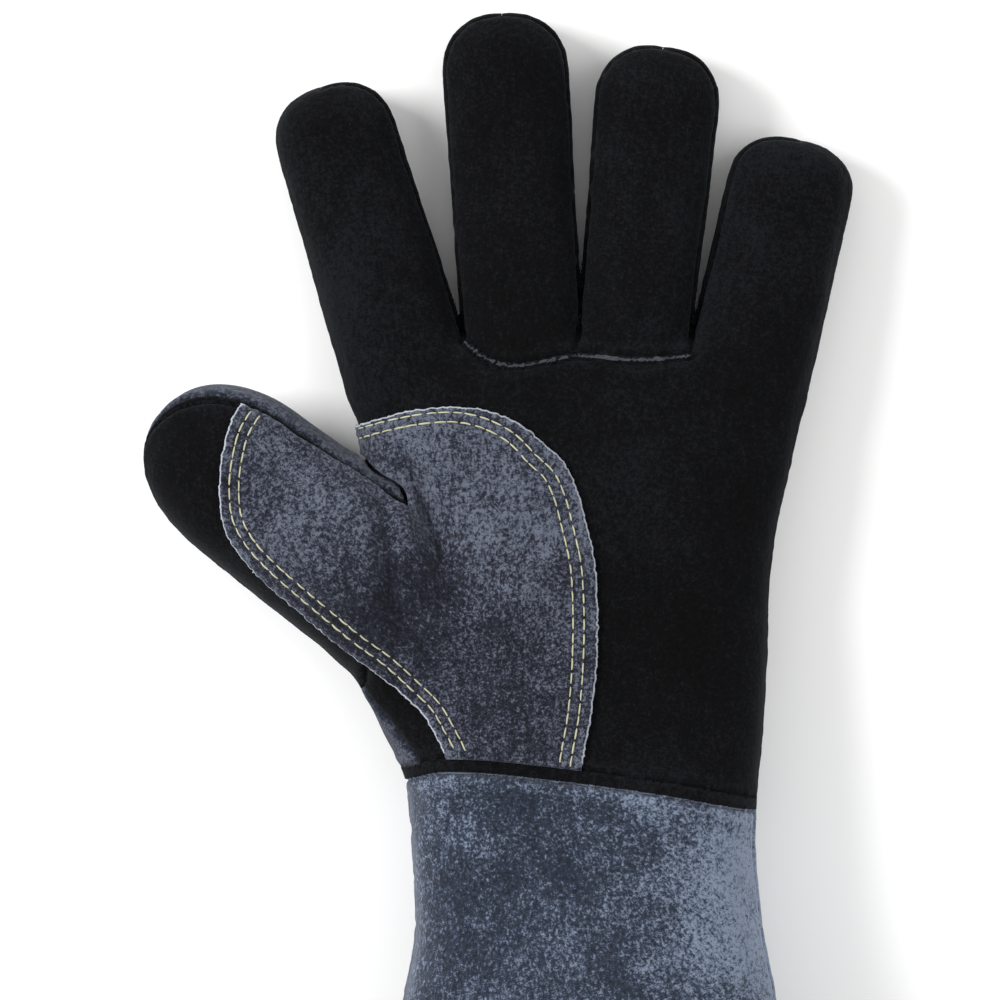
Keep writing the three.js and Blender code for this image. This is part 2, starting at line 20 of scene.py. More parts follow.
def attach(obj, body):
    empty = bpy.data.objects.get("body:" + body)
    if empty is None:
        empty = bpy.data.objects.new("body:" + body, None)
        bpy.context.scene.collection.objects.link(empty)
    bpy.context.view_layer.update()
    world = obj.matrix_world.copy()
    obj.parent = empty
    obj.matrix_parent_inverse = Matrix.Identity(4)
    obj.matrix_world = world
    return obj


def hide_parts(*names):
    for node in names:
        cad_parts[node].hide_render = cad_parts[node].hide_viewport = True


bl_info = {
    "name": "Welding gauntlet",
    "version": (1, 0, 0),
    "blender": (4, 5, 0),
    "location": "3D View > Sidebar > Gauntlet",
    "description": "Leather pieces, reinforcement, stitches and stage of a welding gauntlet",
    "category": "Object",
}

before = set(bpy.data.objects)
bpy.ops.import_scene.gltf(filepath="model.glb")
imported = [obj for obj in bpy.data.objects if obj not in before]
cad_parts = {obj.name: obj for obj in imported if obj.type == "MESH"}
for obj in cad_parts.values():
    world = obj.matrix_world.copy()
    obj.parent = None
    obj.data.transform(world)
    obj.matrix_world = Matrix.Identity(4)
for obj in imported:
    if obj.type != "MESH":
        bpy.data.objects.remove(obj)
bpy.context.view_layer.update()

MM = 0.001
HAND_PLACE = np.array((23.3, -14.64, 0.0))  # the hand's own origin in the frame

# Sizes, as the solids have them
PALM_LENGTH = 114.0
PALM_WIDTH = 132.0
PALM_HEIGHT = 38.0
WRIST_WIDTH = 99.5
WRIST_HEIGHT = 48.0
CUFF_LENGTH = 189.0
MOUTH_WIDTH = 137.0
MOUTH_HEIGHT = 92.0
FINGER_LENGTH = 104.5
FINGER_WIDTH = 35.4
FINGER_HEIGHT = 25.0
ROOT_HEIGHT = 31.0
FORK_WIDTH = 10.0
THUMB_LENGTH = 91.5
THUMB_WIDTH = 48.0
THUMB_HEIGHT = 41.0
THUMB_LEAN = -52.5
WRIST_WELT = 3.4
FINGER_WELT = 1.3
THUMB_WELT = 1.6
DIGIT_SQUARENESS = 0.78
BODY_SQUARENESS = 0.68
TIP_SQUARENESS = 0.89
WIDEST = 0.46
SAG = 1.16
RING_CORNERS = 120
RING_SPACING = 2.5
TIP_RINGS = 14
MOUTH_OVERRUN = 8.0  # how far the cuff's form runs on past the cut at its mouth

# Columns: across, lean, length, root width, tip width, tip
FINGERS = {
    "index": (-0.732, -17, 0.832, 1.04, 0.965, 0.45),
    "middle": (-0.234, -3.7, 1, 0.955, 1, 0.48),
    "ring": (0.214, 5.8, 0.912, 0.89, 0.99, 0.48),
    "little": (0.714, 13.3, 0.67, 1.01, 1, 0.38),
}
# Columns: at, wide, high, lift
FINGER_STATIONS = ((-0.45, 0.7, 0.8, 0.3), (-0.2, 0.9, 0.94, 0.1), (0, 1, 1, 0), (0.5, 1, 1, 0), (1, 1, 1, 0))
# Columns: at, left, right, high
PALM_STATIONS = (
    (0.1, 0.831, 0.781, 1.18),
    (0.2, 0.912, 0.793, 1.12),
    (0.245, 0.95, 0.797, 1.1),
    (0.325, 0.93, 0.802, 1.07),
    (0.45, 0.87, 0.808, 1.03),
    (0.6, 0.85, 0.834, 1),
    (0.75, 0.885, 0.89, 0.97),
    (0.875, 0.945, 0.94, 0.92),
    (1, 1, 0.99, 0.85),
    (1.08, 0.87, 0.84, 0.76),
    (1.105, 0.81, 0.78, 0.58),
)
# Columns: at, flare, rise, shift
CUFF_STATIONS = (
    (1, 1, 1, 0.07),
    (0.6, 0.52, 0.6, 0.06),
    (0.33, 0.158, 0.29, 0.054),
    (0.21, -0.048, 0.15, 0.051),
    (0.075, -0.056, 0.04, 0.02),
    (0, 0, 0, 0.01),
)
THUMB_ROOT = (-0.704, 0.425)
# Columns: at, wide, top, lift, shift
THUMB_STATIONS = (
    (-0.6, 0.7, 0.72, 0.3, 0.5),
    (-0.3, 0.86, 0.92, 0.2, 0.24),
    (-0.08, 0.96, 0.97, 0.1, 0.07),
    (0.16, 1.02, 1, 0.04, 0),
    (0.4, 1.02, 0.97, 0.08, 0),
    (0.63, 0.995, 0.9, 0.14, 0),
)
THUMB_SEAM = (0.84, 0.4)  # at the crotch's side and at the outer side
WRAP_REACH = 0.24  # how far up the palm the back of the hand wraps to the front
HAND_SEAM = (0.46, 0.46)  # left and right, as shares of the thickness
CUFF_SEAM = (0.4, 0.66)

# Seams in plan: across is a share of half the palm's width (of the wrist's in WRIST_SEAM), along a
# share of the palm's length
WRIST_SEAM = (
    (-1.6, 0.02), (-0.983, 0.02), (-0.857, 0.035), (-0.571, 0.037), (-0.286, 0.026), (0, 0.012),
    (0.457, -0.016), (0.983, -0.056), (1.6, -0.075),
)
FINGER_SEAM = (
    (-0.495, 1.092), (-0.418, 1.055), (-0.344, 1.036), (-0.258, 1.032), (-0.172, 1.039), (-0.022, 1.055),
    (0.073, 1.053), (0.172, 1.048), (0.301, 1.047), (0.409, 1.052), (0.474, 1.057),
)
BACK_SEAM = ((-1.6, 0.235), (-0.9, 0.235), (-0.45, 0.33), (0, 0.36), (0.45, 0.33), (0.9, 0.235), (1.6, 0.235))
WRAP_SEAM = (
    (-1.3, 0.239), (-0.939, 0.239), (-0.896, 0.199), (-0.827, 0.15), (-0.754, 0.095), (-0.711, 0.057),
    (-0.62, -0.03),
)
# Between thumb and hand, from the cuff up through the crotch
THUMB_LINE = (
    (-1.37, -0.53), (-1.136, -0.175), (-0.932, 0.241), (-0.864, 0.482), (-0.775, 0.735), (-0.861, 0.764),
    (-0.94, 0.81), (-1.06, 0.877), (-1.36, 1.14), (-1.7, 2.2),
)
PATCH_OUTLINE = (
    (-1.451, 0.935), (-1.499, 0.885), (-1.533, 0.81), (-1.546, 0.723), (-1.524, 0.636), (-1.464, 0.573),
    (-1.369, 0.511), (-1.249, 0.449), (-1.12, 0.386), (-0.99, 0.324), (-0.861, 0.269), (-0.754, 0.212),
    (-0.667, 0.162), (-0.616, 0.112), (-0.573, 0.062), (-0.551, 0), (-0.013, -0.02), (0.013, 0.062),
    (0.043, 0.15), (0.06, 0.224), (0.073, 0.324), (0.073, 0.449), (0.06, 0.548), (0.022, 0.648),
    (-0.013, 0.723), (-0.065, 0.785), (-0.151, 0.835), (-0.258, 0.885), (-0.388, 0.917), (-0.517, 0.927),
    (-0.646, 0.925), (-0.797, 0.91), (-0.99, 0.88),
)
# Rows of stitches, each along part of the outline. Columns: first and last outline point, then
# pairs of outline point and inset in millimetres
STITCH_ROWS = (
    (0, 15, ((0, 3.2), (5, 2.6), (15, 2.8))),
    (0, 15, ((0, 6.0), (5, 5.2), (15, 5.6))),
    (16, 32, ((16, 3.1), (20, 3.9), (26, 3.9), (29, 1.5), (32, 1.2))),
    (16, 32, ((16, 6.2), (20, 7.0), (26, 7.0), (29, 4.2), (32, 3.9))),
)
# Creases in plan. Columns: across, along, length and width as shares of the palm's length, turn in
# degrees from the fingers' direction, and depth in millimetres; a ridge has a depth under zero
CREASES = (
    (-0.64, 0.6, 0.16, 0.075, -18, 3.4),
    (-0.66, 0.42, 0.14, 0.1, -20, 1.9),
    (-0.5, 0.22, 0.18, 0.12, -30, 1.9),
    (0.35, 0.5, 0.3, 0.2, 10, 1.9),
    (-0.2, -0.45, 0.3, 0.13, -16, 2.3),
    (0.35, -0.8, 0.36, 0.14, 14, 2.6),
    (-0.675, 0.68, 0.13, 0.026, 162, 3.4),
    (-0.75, 0.63, 0.14, 0.036, 166, -2.6),
    (-0.84, 0.54, 0.17, 0.036, 174, 2.8),
    (-0.93, 0.58, 0.14, 0.05, 176, -1.3),
    (-0.72, 0.36, 0.1, 0.035, 150, 2.2),
    (-0.24, 0.47, 0.08, 0.07, 80, -2.2),
    (-0.38, 0.29, 0.14, 0.06, 66, 2.4),
    (-0.5, 0.72, 0.1, 0.06, 60, 1.4),
    (0.5, 0.93, 0.12, 0.03, 70, 0.7),
    (-0.55, 1.0, 0.08, 0.025, 120, 0.8),
    (-0.62, 0.86, 0.05, 0.02, 120, 0.5),
)
# Broad places painted lighter or darker: painted light and shade, with some uneven dye. Columns:
# across, along, radius as a share of the palm's length, and how much lighter
SHADE_AND_DYE_PLACES = (
    (0.62, -0.2, 0.2, 0.3),
    (0.8, -0.5, 0.2, 0.16),
    (-0.52, -0.12, 0.1, 0.12),
    (-0.05, -0.32, 0.26, -0.12),
    (-0.4, -0.8, 0.3, -0.05),
    (-1.2, 0.72, 0.22, 0.12),
    (-0.78, 0.5, 0.13, -0.16),
    (-0.26, 0.48, 0.1, 0.12),
    (-0.34, 0.22, 0.2, -0.12),
    (-0.45, 0.78, 0.14, -0.05),
)
# The colours as sRGB hex values: tones of the napped side and of the cut edge
COLOURS = {
    "black": {"dark": "020202", "middle": "060607", "light": "131417", "cut": "141518"},
    "cuff": {"dark": "0f131a", "middle": "252c3a", "light": "6d788a", "cut": "566070"},
    "patch": {"dark": "0c0d13", "middle": "20222c", "light": "575c69", "cut": "9a9fa8"},
    "back": {"dark": "0e1016", "middle": "22252e", "light": "4f535f", "cut": "22252c"},
    "strip": {"dark": "1d1e20", "middle": "34353a", "light": "4d4e54", "cut": "060607"},
    "thread": {"dark": "8e8d70", "light": "b9b897"},
}
TABLE_CLEARANCE = 0.15
# How far a finger's side is held off while the forms are joined, over what distance from the gap's
# middle that fades, and how far from it the forms are looked at
GAP_SPREAD, GAP_FADE, GAP_REACH = 1.3, 9, 40
SMOOTH_ROUNDS = 4
FILLET_ROUNDS = 18
# Unevenness of the leather. Columns: size in millimetres, share, seed
LUMPS = ((27, 1.0, 3.1), (11, 0.45, 7.7), (5, 0.2, 1.3))
CUFF_WAVE = (24, 0.9, 5.2)  # long waves of the cuff: size, share, seed
CUFF_EASE = 12.0  # how far past the wrist they reach their full height
# Where the thread draws the leather in beside a seam, and the soft roll next to it
GROOVE_DEPTH, GROOVE_WIDTH = 1.35, 0.95
ROLL_HEIGHT, ROLL_AT, ROLL_WIDTH = 0.42, 2.6, 1.5
WELT_SINK, WELT_ROUND = -0.6, 0.95  # how deep a welt's edges sit, and how far its middle rises again
FINE_CUTS = (0.5, 1.3)  # distances from a seam at which the faces are cut finer
TIP_EASE = 6.0  # reach of the smooth place at a fingertip's end, where seams meet
SHARP_EDGE = 52  # degrees
# The reinforcement over the leather
PATCH_MARGIN = 4.0  # how far past its outline the skin is taken before it is cut
PATCH_LIFT = 0.4
RAW_REACH = 1.2  # a border this close to the outline is a raw cut edge
PRESS_DEPTH, PRESS_WIDTH = 0.5, 0.75  # how far a row of stitches presses it down
FRAY_NOISE = ((1.7, 1.0, 4.4), (0.8, 0.7, 9.1))  # columns: size, share, seed
ARCH_SHARE = 0.55  # a stitch's arch, as a share of the thread's width

# The stage, in metres
FLOOR_CORNERS = ((-4, -4), (4, -4), (4, 4), (-4, 4))
FLOOR_DROP = -0.0002
CAMERA_PLACE = (0.0006, 0.0649)  # the middle of the photograph
PALM_LEVEL = 0.02  # height at which the view has its full width
SENSOR_WIDTH = 36  # millimetres
KEY_LIGHT = ((-1.35, 0.5, 1.15), 0.8)  # place and size
FILL_LIGHT = ((1.3, 0.2, 1.6), 1.4)
FILL_SHARE = 0.45  # of the key light's power


def mix(first, second, share):
    """The value at a share of the way from the first to the second."""
    return first + (second - first) * share


def smooth_step(value):
    value = np.clip(value, 0, 1)
    return value * value * (3 - 2 * value)


def signed_power(value, power):
    return np.sign(value) * np.abs(value) ** power


def plan(places, width=PALM_WIDTH):
    """Plan points in millimetres from shares of half a width and of the palm's length."""
    return np.array(places, float) * (width / 2, PALM_LENGTH)


def smooth_curve(at, knots, values):
    """Values at places on a smooth curve through the knots that never overshoots them."""
    steps = np.diff(knots)
    rises = np.diff(values) / steps
    both = rises[1:] * rises[:-1]
    mean = 2 * both / np.where(both > 0, rises[1:] + rises[:-1], 1)
    slopes = np.concatenate([rises[:1], np.where(both > 0, mean, 0), rises[-1:]])
    row = np.clip(np.searchsorted(knots, at) - 1, 0, len(steps) - 1)
    width = steps[row]
    share = (at - knots[row]) / width
    rest = 1 - share
    ends = values[row] * rest**2 * (1 + 2 * share) + values[row + 1] * share**2 * (3 - 2 * share)
    return ends + width * share * rest * (slopes[row] * rest - slopes[row + 1] * share)


def resampled(line, spacing, closed=False):
    """A plan line through the same points, rounded and evenly spaced."""
    line = np.array(line)
    if closed:
        line = np.concatenate([line[-3:], line, line[:3]])
    run = np.concatenate([[0], np.cumsum(np.hypot(*np.diff(line, axis=0).T))])
    first, last = (run[3], run[-3]) if closed else (0, run[-1])
    at = np.linspace(first, last, max(int((last - first) / spacing), 2), endpoint=not closed)
    slopes = np.gradient(line, run, axis=0)
    row = np.clip(np.searchsorted(run, at) - 1, 0, len(run) - 2)
    width = (run[row + 1] - run[row])[:, None]
    share = ((at - run[row]) / width[:, 0])[:, None]
    rest = 1 - share
    ends = line[row] * rest**2 * (1 + 2 * share) + line[row + 1] * share**2 * (3 - 2 * share)
    return ends + width * share * rest * (slopes[row] * rest - slopes[row + 1] * share)


def line_distance(places, line):
    """Signed distance in plan to an open line, above zero on its left."""
    best = np.full(len(places), np.inf)
    sign = np.ones(len(places))
    for start, end in zip(line[:-1], line[1:]):
        run = end - start
        away = places[:, :2] - start
        share = np.clip(away @ run / (run @ run), 0, 1)
        off = away - share[:, None] * run
        distance = np.hypot(off[:, 0], off[:, 1])
        nearer = distance < best
        best[nearer] = distance[nearer]
        sign[nearer] = np.where(run[0] * away[nearer, 1] - run[1] * away[nearer, 0] < 0, -1, 1)
    return best * sign


def outline_distance(places, outline):
    """Signed distance in plan to a closed outline, above zero inside."""
    closed = np.concatenate([outline, outline[:1]])
    distance = np.abs(line_distance(places, closed))
    inside = np.zeros(len(places), bool)
    for (x0, y0), (x1, y1) in zip(closed[:-1], closed[1:]):
        if y0 == y1:
            continue
        spans = (y0 > places[:, 1]) != (y1 > places[:, 1])
        inside ^= spans & (places[:, 0] < x0 + (places[:, 1] - y0) * (x1 - x0) / (y1 - y0))
    return np.where(inside, distance, -distance)


def noise_at(places, size, seed):
    """Smooth noise of about -1 to 1 with features of a size in millimetres."""
    return np.array([noise.noise(place) for place in (places / size + seed).tolist()])


def noise_sum(places, layers):
    """The sum of several noises. Columns of layers: size, share, seed."""
    return sum(share * noise_at(places, size, seed) for size, share, seed in layers)


# Outer forms


def ring(centre, side, half_width, bottom, top, squareness, scale=1.0):
    """One cross-section: a rounded box that is flat where it lies on the table."""
    turn = np.linspace(0, 2 * math.pi, RING_CORNERS, endpoint=False)
    across = scale * signed_power(np.cos(turn), squareness)
    upright = scale * signed_power(np.sin(turn), squareness)
    widest = mix(bottom, top, WIDEST)
    depth = np.where(upright > 0, top - widest, (widest - bottom) * SAG)
    corners = centre[:2] + np.outer(half_width * across, side)
    return np.column_stack([corners, np.maximum(widest + depth * upright, bottom)])


def skinned(rings, start_tip, end_tip):
    """Corners and faces of a closed form through rings of equally many corners."""
    count = len(rings[0])
    last = (len(rings) - 1) * count
    corners = np.concatenate([*rings, [start_tip, end_tip]])
    faces = []
    for corner in range(count):
        beside = (corner + 1) % count
        for row in range(0, last, count):
            faces.append((row + corner, row + beside, row + count + beside, row + count + corner))
        faces.append((last + count, beside, corner))
        faces.append((last + count + 1, last + corner, last + beside))
    return corners, faces


def directions(lean):
    """A digit's direction and the direction to its left, in plan."""
    angle = math.radians(lean)
    return np.array((math.sin(angle), math.cos(angle))), np.array((-math.cos(angle), math.sin(angle)))


def digit(root, lean, sections, length, tip):
    """A finger or thumb. Columns of sections: at, shift, half width, bottom, top."""
    axis, side = directions(lean)
    rings = []
    sections = np.array(sections)
    places = np.append(np.arange(sections[0, 0], sections[-1, 0], RING_SPACING), sections[-1, 0])
    columns = [np.interp(places, sections[:, 0], sections[:, column]) for column in range(1, 5)]
    for at, shift, half_width, bottom, top in zip(places, *columns):
        centre = root + axis * at + side * shift
        rings.append(ring(centre, side, half_width, bottom, top, DIGIT_SQUARENESS))
    half_width, bottom, top = sections[-1][2:]
    for turn in np.linspace(0.08, 0.97, TIP_RINGS) * math.pi / 2:
        centre = root + axis * (length - tip + tip * math.sin(turn) ** TIP_SQUARENESS)
        scale = math.cos(turn) ** TIP_SQUARENESS
        rings.append(ring(centre, side, half_width, bottom, top, DIGIT_SQUARENESS, scale))
    pole = np.append(root + axis * length, mix(bottom, top, WIDEST))
    return skinned(rings, rings[0].mean(axis=0), pole)


def finger_places(name):
    """A finger's root, lean, length, tip and half width at the root, in millimetres."""
    across, lean, length, root_width, _, tip = FINGERS[name]
    root = plan((across, 1))
    return root, lean, length * FINGER_LENGTH, tip * FINGER_WIDTH, root_width * FINGER_WIDTH / 2


def finger_form(name):
    root, lean, length, tip, _ = finger_places(name)
    root_width, tip_width = FINGERS[name][3:5]
    sections = []
    for at, wide, high, lift in FINGER_STATIONS:
        width = mix(root_width, tip_width, max(at, 0)) * FINGER_WIDTH
        height = mix(ROOT_HEIGHT, FINGER_HEIGHT, max(at, 0))
        sections.append((at * (length - tip), 0, wide * width / 2, lift * height, high * height))
    return digit(root, lean, sections, length, tip)


def thumb_form():
    length, width, height = THUMB_LENGTH, THUMB_WIDTH, THUMB_HEIGHT
    sections = [
        (at * length, shift * width, wide * width / 2, lift * height, top * height)
        for at, wide, top, lift, shift in THUMB_STATIONS
    ]
    tip = THUMB_LENGTH * (1 - THUMB_STATIONS[-1][0])
    return digit(plan(THUMB_ROOT), THUMB_LEAN, sections, THUMB_LENGTH, tip)


@cache
def body_stations():
    """Palm and cuff from mouth to finger roots. Columns: y, left, right, top."""
    rows = []
    for at, flare, rise, shift in CUFF_STATIONS:
        half = mix(WRIST_WIDTH, MOUTH_WIDTH, flare) / 2
        middle = shift * WRIST_WIDTH / 2
        rows.append((-at * CUFF_LENGTH, middle - half, middle + half, mix(WRIST_HEIGHT, MOUTH_HEIGHT, rise)))
    for at, left, right, high in PALM_STATIONS:
        rows.append((at * PALM_LENGTH, -left * PALM_WIDTH / 2, right * PALM_WIDTH / 2, high * PALM_HEIGHT))
    return np.array(rows)


def body_form():
    rows = body_stations()
    along = rows[:, 0]
    places = np.append(np.arange(along[0] - MOUTH_OVERRUN, along[-1], RING_SPACING), along[-1])
    sizes = np.column_stack([places, *(smooth_curve(places, along, rows[:, column]) for column in (1, 2, 3))])
    side = np.array((-1.0, 0.0))
    rings = [
        ring(np.array(((left + right) / 2, y)), side, (right - left) / 2, 0, top, BODY_SQUARENESS)
        for y, left, right, top in sizes
    ]
    return skinned(rings, rings[0].mean(axis=0), rings[-1].mean(axis=0))


def new_mesh(name, corners, faces):
    mesh = bpy.data.meshes.new(name)
    mesh.from_pydata(corners, [], faces)
    mesh.update()
    return mesh


def linked(name, data):
    """A new object in the scene, at the origin."""
    made = bpy.data.objects.new(name, data)
    bpy.context.scene.collection.objects.link(made)
    return made


def joined(forms):
    """The corners and faces of several forms as one."""
    corners, faces, count = [], [], 0
    for form_corners, form_faces in forms:
        corners.append(form_corners)
        faces += [tuple(corner + count for corner in face) for face in form_faces]
        count += len(form_corners)
    return np.concatenate(corners), faces


def remeshed(corners, faces, voxel):
    """Corners and triangles of the outside of overlapping closed forms."""
    shape = linked("forms", new_mesh("forms", corners.tolist(), faces))
    modifier = shape.modifiers.new("outside", "REMESH")
    modifier.mode = "VOXEL"
    modifier.voxel_size = voxel
    modifier.adaptivity = 0
    graph = bpy.context.evaluated_depsgraph_get()
    mesh = bpy.data.meshes.new_from_object(shape.evaluated_get(graph))
    bpy.data.objects.remove(shape)
    mesh.calc_loop_triangles()
    made = np.empty(len(mesh.vertices) * 3)
    mesh.vertices.foreach_get("co", made)
    triangles = np.empty(len(mesh.loop_triangles) * 3, int)
    mesh.loop_triangles.foreach_get("vertices", triangles)
    bpy.data.meshes.remove(mesh)
    return made.reshape(-1, 3), triangles.reshape(-1, 3)


# Triangle surfaces


def edges_of(triangles):
    pairs = np.concatenate([triangles[:, [0, 1]], triangles[:, [1, 2]], triangles[:, [2, 0]]])
    return np.unique(np.sort(pairs, axis=1), axis=0)


def normals_of(corners, triangles):
    a, b, c = (corners[triangles[:, column]] for column in range(3))
    faces = np.cross(b - a, c - a)
    sums = np.zeros_like(corners)
    for column in range(3):
        for axis in range(3):
            sums[:, axis] += np.bincount(triangles[:, column], faces[:, axis], len(corners))
    return sums / np.maximum(np.linalg.norm(sums, axis=1), 1e-12)[:, None]


def neighbour_mean(values, edges, count):
    """The mean of the neighbours' values at every corner."""
    values = values.reshape(count, -1)
    sums = np.zeros_like(values)
    for first, second in ((0, 1), (1, 0)):
        for column in range(values.shape[1]):
            sums[:, column] += np.bincount(edges[:, first], values[edges[:, second], column], count)
    degree = np.bincount(edges.ravel(), minlength=count)
    return sums / np.maximum(degree, 1)[:, None]


def relaxed(corners, triangles, rounds, fill_rounds):
    """Corners smoothed, with sharp inner creases filled by a soft fillet."""
    edges = edges_of(triangles)
    for step in range(rounds + fill_rounds):
        move = neighbour_mean(corners, edges, len(corners)) - corners
        if step >= rounds:
            normals = normals_of(corners, triangles)
            outward = np.einsum("ij,ij->i", move, normals) * np.clip(normals[:, 2] * 1.5 - 0.2, 0, 1)
            move = normals * np.clip(outward, 0, None)[:, None]
        corners = corners + 0.6 * move
    return corners


def cut(corners, triangles, values, near=0.18):
    """Triangles cut where values pass through zero. Returns corners, triangles and the triangle
    each came from. Corners close to the line are drawn onto it."""
    corners, values = corners.copy(), values.copy()
    edges = edges_of(triangles)

    def crossings():
        first, second = values[edges[:, 0]], values[edges[:, 1]]
        crossed = first * second < 0
        return edges[crossed], first[crossed] / (first[crossed] - second[crossed])

    rows, share = crossings()
    for chosen, column in ((share < near, 0), (share > 1 - near, 1)):
        ends = rows[chosen]
        place = mix(corners[ends[:, 0]], corners[ends[:, 1]], share[chosen, None])
        corners[ends[:, column]] = place
        values[ends[:, column]] = 0
    rows, share = crossings()
    if not len(rows):
        return corners, triangles, np.arange(len(triangles))
    added = mix(corners[rows[:, 0]], corners[rows[:, 1]], share[:, None])
    keys = rows[:, 0] * len(corners) + rows[:, 1]
    order = np.argsort(keys)
    middles = np.full(triangles.shape, -1)
    for column in range(3):
        pair = np.sort(triangles[:, [column, (column + 1) % 3]], axis=1)
        key = pair[:, 0] * len(corners) + pair[:, 1]
        slot = np.clip(np.searchsorted(keys[order], key), 0, len(keys) - 1)
        found = keys[order][slot] == key
        middles[found, column] = len(corners) + order[slot[found]]
    count = (middles >= 0).sum(axis=1)
    kept = count == 0
    parts, parents = [triangles[kept]], [np.flatnonzero(kept)]
    for turn in range(3):
        a, b, c = (triangles[:, (turn + step) % 3] for step in range(3))
        ab, bc, ca = (middles[:, (turn + step) % 3] for step in range(3))
        single = (count == 1) & (ab >= 0)
        for made in ((a, ab, c), (ab, b, c)):
            parts.append(np.column_stack(made)[single])
            parents.append(np.flatnonzero(single))
        double = (count == 2) & (ab >= 0) & (ca >= 0)
        for made in ((a, ab, ca), (ab, b, c), (ab, c, ca)):
            parts.append(np.column_stack(made)[double])
            parents.append(np.flatnonzero(double))
    return np.concatenate([corners, added]), np.concatenate(parts), np.concatenate(parents)


def subdivided(corners, triangles):
    """Every triangle cut into four."""
    edges = edges_of(triangles)
    keys = edges[:, 0] * len(corners) + edges[:, 1]
    middles = np.empty(triangles.shape, int)
    for column in range(3):
        pair = np.sort(triangles[:, [column, (column + 1) % 3]], axis=1)
        middles[:, column] = len(corners) + np.searchsorted(keys, pair[:, 0] * len(corners) + pair[:, 1])
    added = corners[edges].mean(axis=1)
    ab, bc, ca = middles.T
    a, b, c = triangles.T
    parts = [np.column_stack(part) for part in ((a, ab, ca), (ab, b, bc), (ca, bc, c), (ab, bc, ca))]
    return np.concatenate([corners, added]), np.concatenate(parts)


def border_edges(triangles):
    """Edges with a triangle on one side only, in that triangle's direction."""
    pairs = np.concatenate([triangles[:, [0, 1]], triangles[:, [1, 2]], triangles[:, [2, 0]]])
    _, index, count = np.unique(np.sort(pairs, axis=1), axis=0, return_index=True, return_counts=True)
    return pairs[index[count == 1]]


def distance_to(places, points):
    """Distance from each place to the nearest of some points."""
    tree = KDTree(len(points))
    for index, point in enumerate(points.tolist()):
        tree.insert(point, index)
    tree.balance()
    return np.array([tree.find(place)[2] for place in places.tolist()])


def ridge_of(corners, triangles, normals):
    """How far each corner stands out of its surroundings, in millimetres."""
    edges = edges_of(triangles)
    around = corners
    for _ in range(6):
        around = neighbour_mean(around, edges, len(corners))
    out = np.einsum("ij,ij->i", corners - around, normals)
    return neighbour_mean(out, edges, len(corners))[:, 0]


def compact(corners, triangles, *values):
    """Only the corners in use, with the triangles and values renumbered to match."""
    used, flat = np.unique(triangles, return_inverse=True)
    return (corners[used], flat.reshape(triangles.shape), *(value[used] for value in values))


# Seams as fields over the skin: each is zero on its seam


def thickness_at(places):
    """How high the glove is along its length."""
    rows = body_stations()[:-1]
    little = finger_places("little")[2]
    along = np.append(rows[rows[:, 0] < PALM_LENGTH, 0], (PALM_LENGTH, PALM_LENGTH + little, 600))
    tops = np.append(rows[rows[:, 0] < PALM_LENGTH, 3], (ROOT_HEIGHT, FINGER_HEIGHT, FINGER_HEIGHT))
    return np.interp(places[:, 1], along, tops)


def over_sheet(places, shares, lift=0.0):
    """Height over the sheet through the side seams, at shares of the thickness left and right."""
    across = np.clip(places[:, 0] / PALM_WIDTH + 0.5, 0, 1)
    return places[:, 2] - mix(shares[0] + lift, shares[1] + lift, across) * thickness_at(places)


def over_thumb_seam(places):
    _, side = directions(THUMB_LEAN)
    crotch, outer = (share * THUMB_HEIGHT for share in THUMB_SEAM)
    slope = (outer - crotch) / THUMB_WIDTH
    offset = (places[:, :2] - plan(THUMB_ROOT)) @ side
    return (places[:, 2] - (outer + crotch) / 2 - slope * offset) / math.hypot(1, slope)


def over_wrist(places):
    return line_distance(places, resampled(plan(WRIST_SEAM, WRIST_WIDTH), 2))


def left_of_thumb_line(places):
    return line_distance(places, resampled(plan(THUMB_LINE), 3))


def left_of_wrap(places):
    return -line_distance(places, plan(WRAP_SEAM))


def over_back_seam(places):
    return line_distance(places, resampled(plan(BACK_SEAM), 3))


def off_finger_seam(places):
    return np.abs(line_distance(places, resampled(plan(FINGER_SEAM), 1.5)))


PAIRS = (("index", "middle"), ("middle", "ring"), ("ring", "little"))
FEET = (0, len(FINGER_SEAM) // 2, len(FINGER_SEAM) - 1)


def beside(name, at, offset):
    """A plan place along a finger and off to its left."""
    root, lean, *_ = finger_places(name)
    axis, side = directions(lean)
    return root + axis * at + side * offset


def divider(pair):
    """The plan line from the finger seam up the gap between two neighbouring fingers."""
    sides = []
    for name, sign in zip(PAIRS[pair], (-1, 1)):
        _, _, length, tip, half_width = finger_places(name)
        sides.append([beside(name, at, sign * half_width) for at in (tip, length, length * 2)])
    return np.array([plan(FINGER_SEAM[FEET[pair]]), *np.mean(sides, axis=0)])


def fork_outline(pair):
    """The plan zone between the middles of two neighbouring fingers, past their tips."""
    left, right = PAIRS[pair]
    ends = [beside(name, finger_places(name)[2] * 1.5, 0) for name in (right, left)]
    return np.array([beside(left, 0, 0), beside(right, 0, 0), *ends])


def finger_zone(left, right):
    """The plan zone of a finger between two dividers, over the finger seam."""
    foot = plan(FINGER_SEAM[FEET[left] : FEET[right] + 1])
    return np.concatenate([foot, divider(right)[1:], divider(left)[:0:-1]])


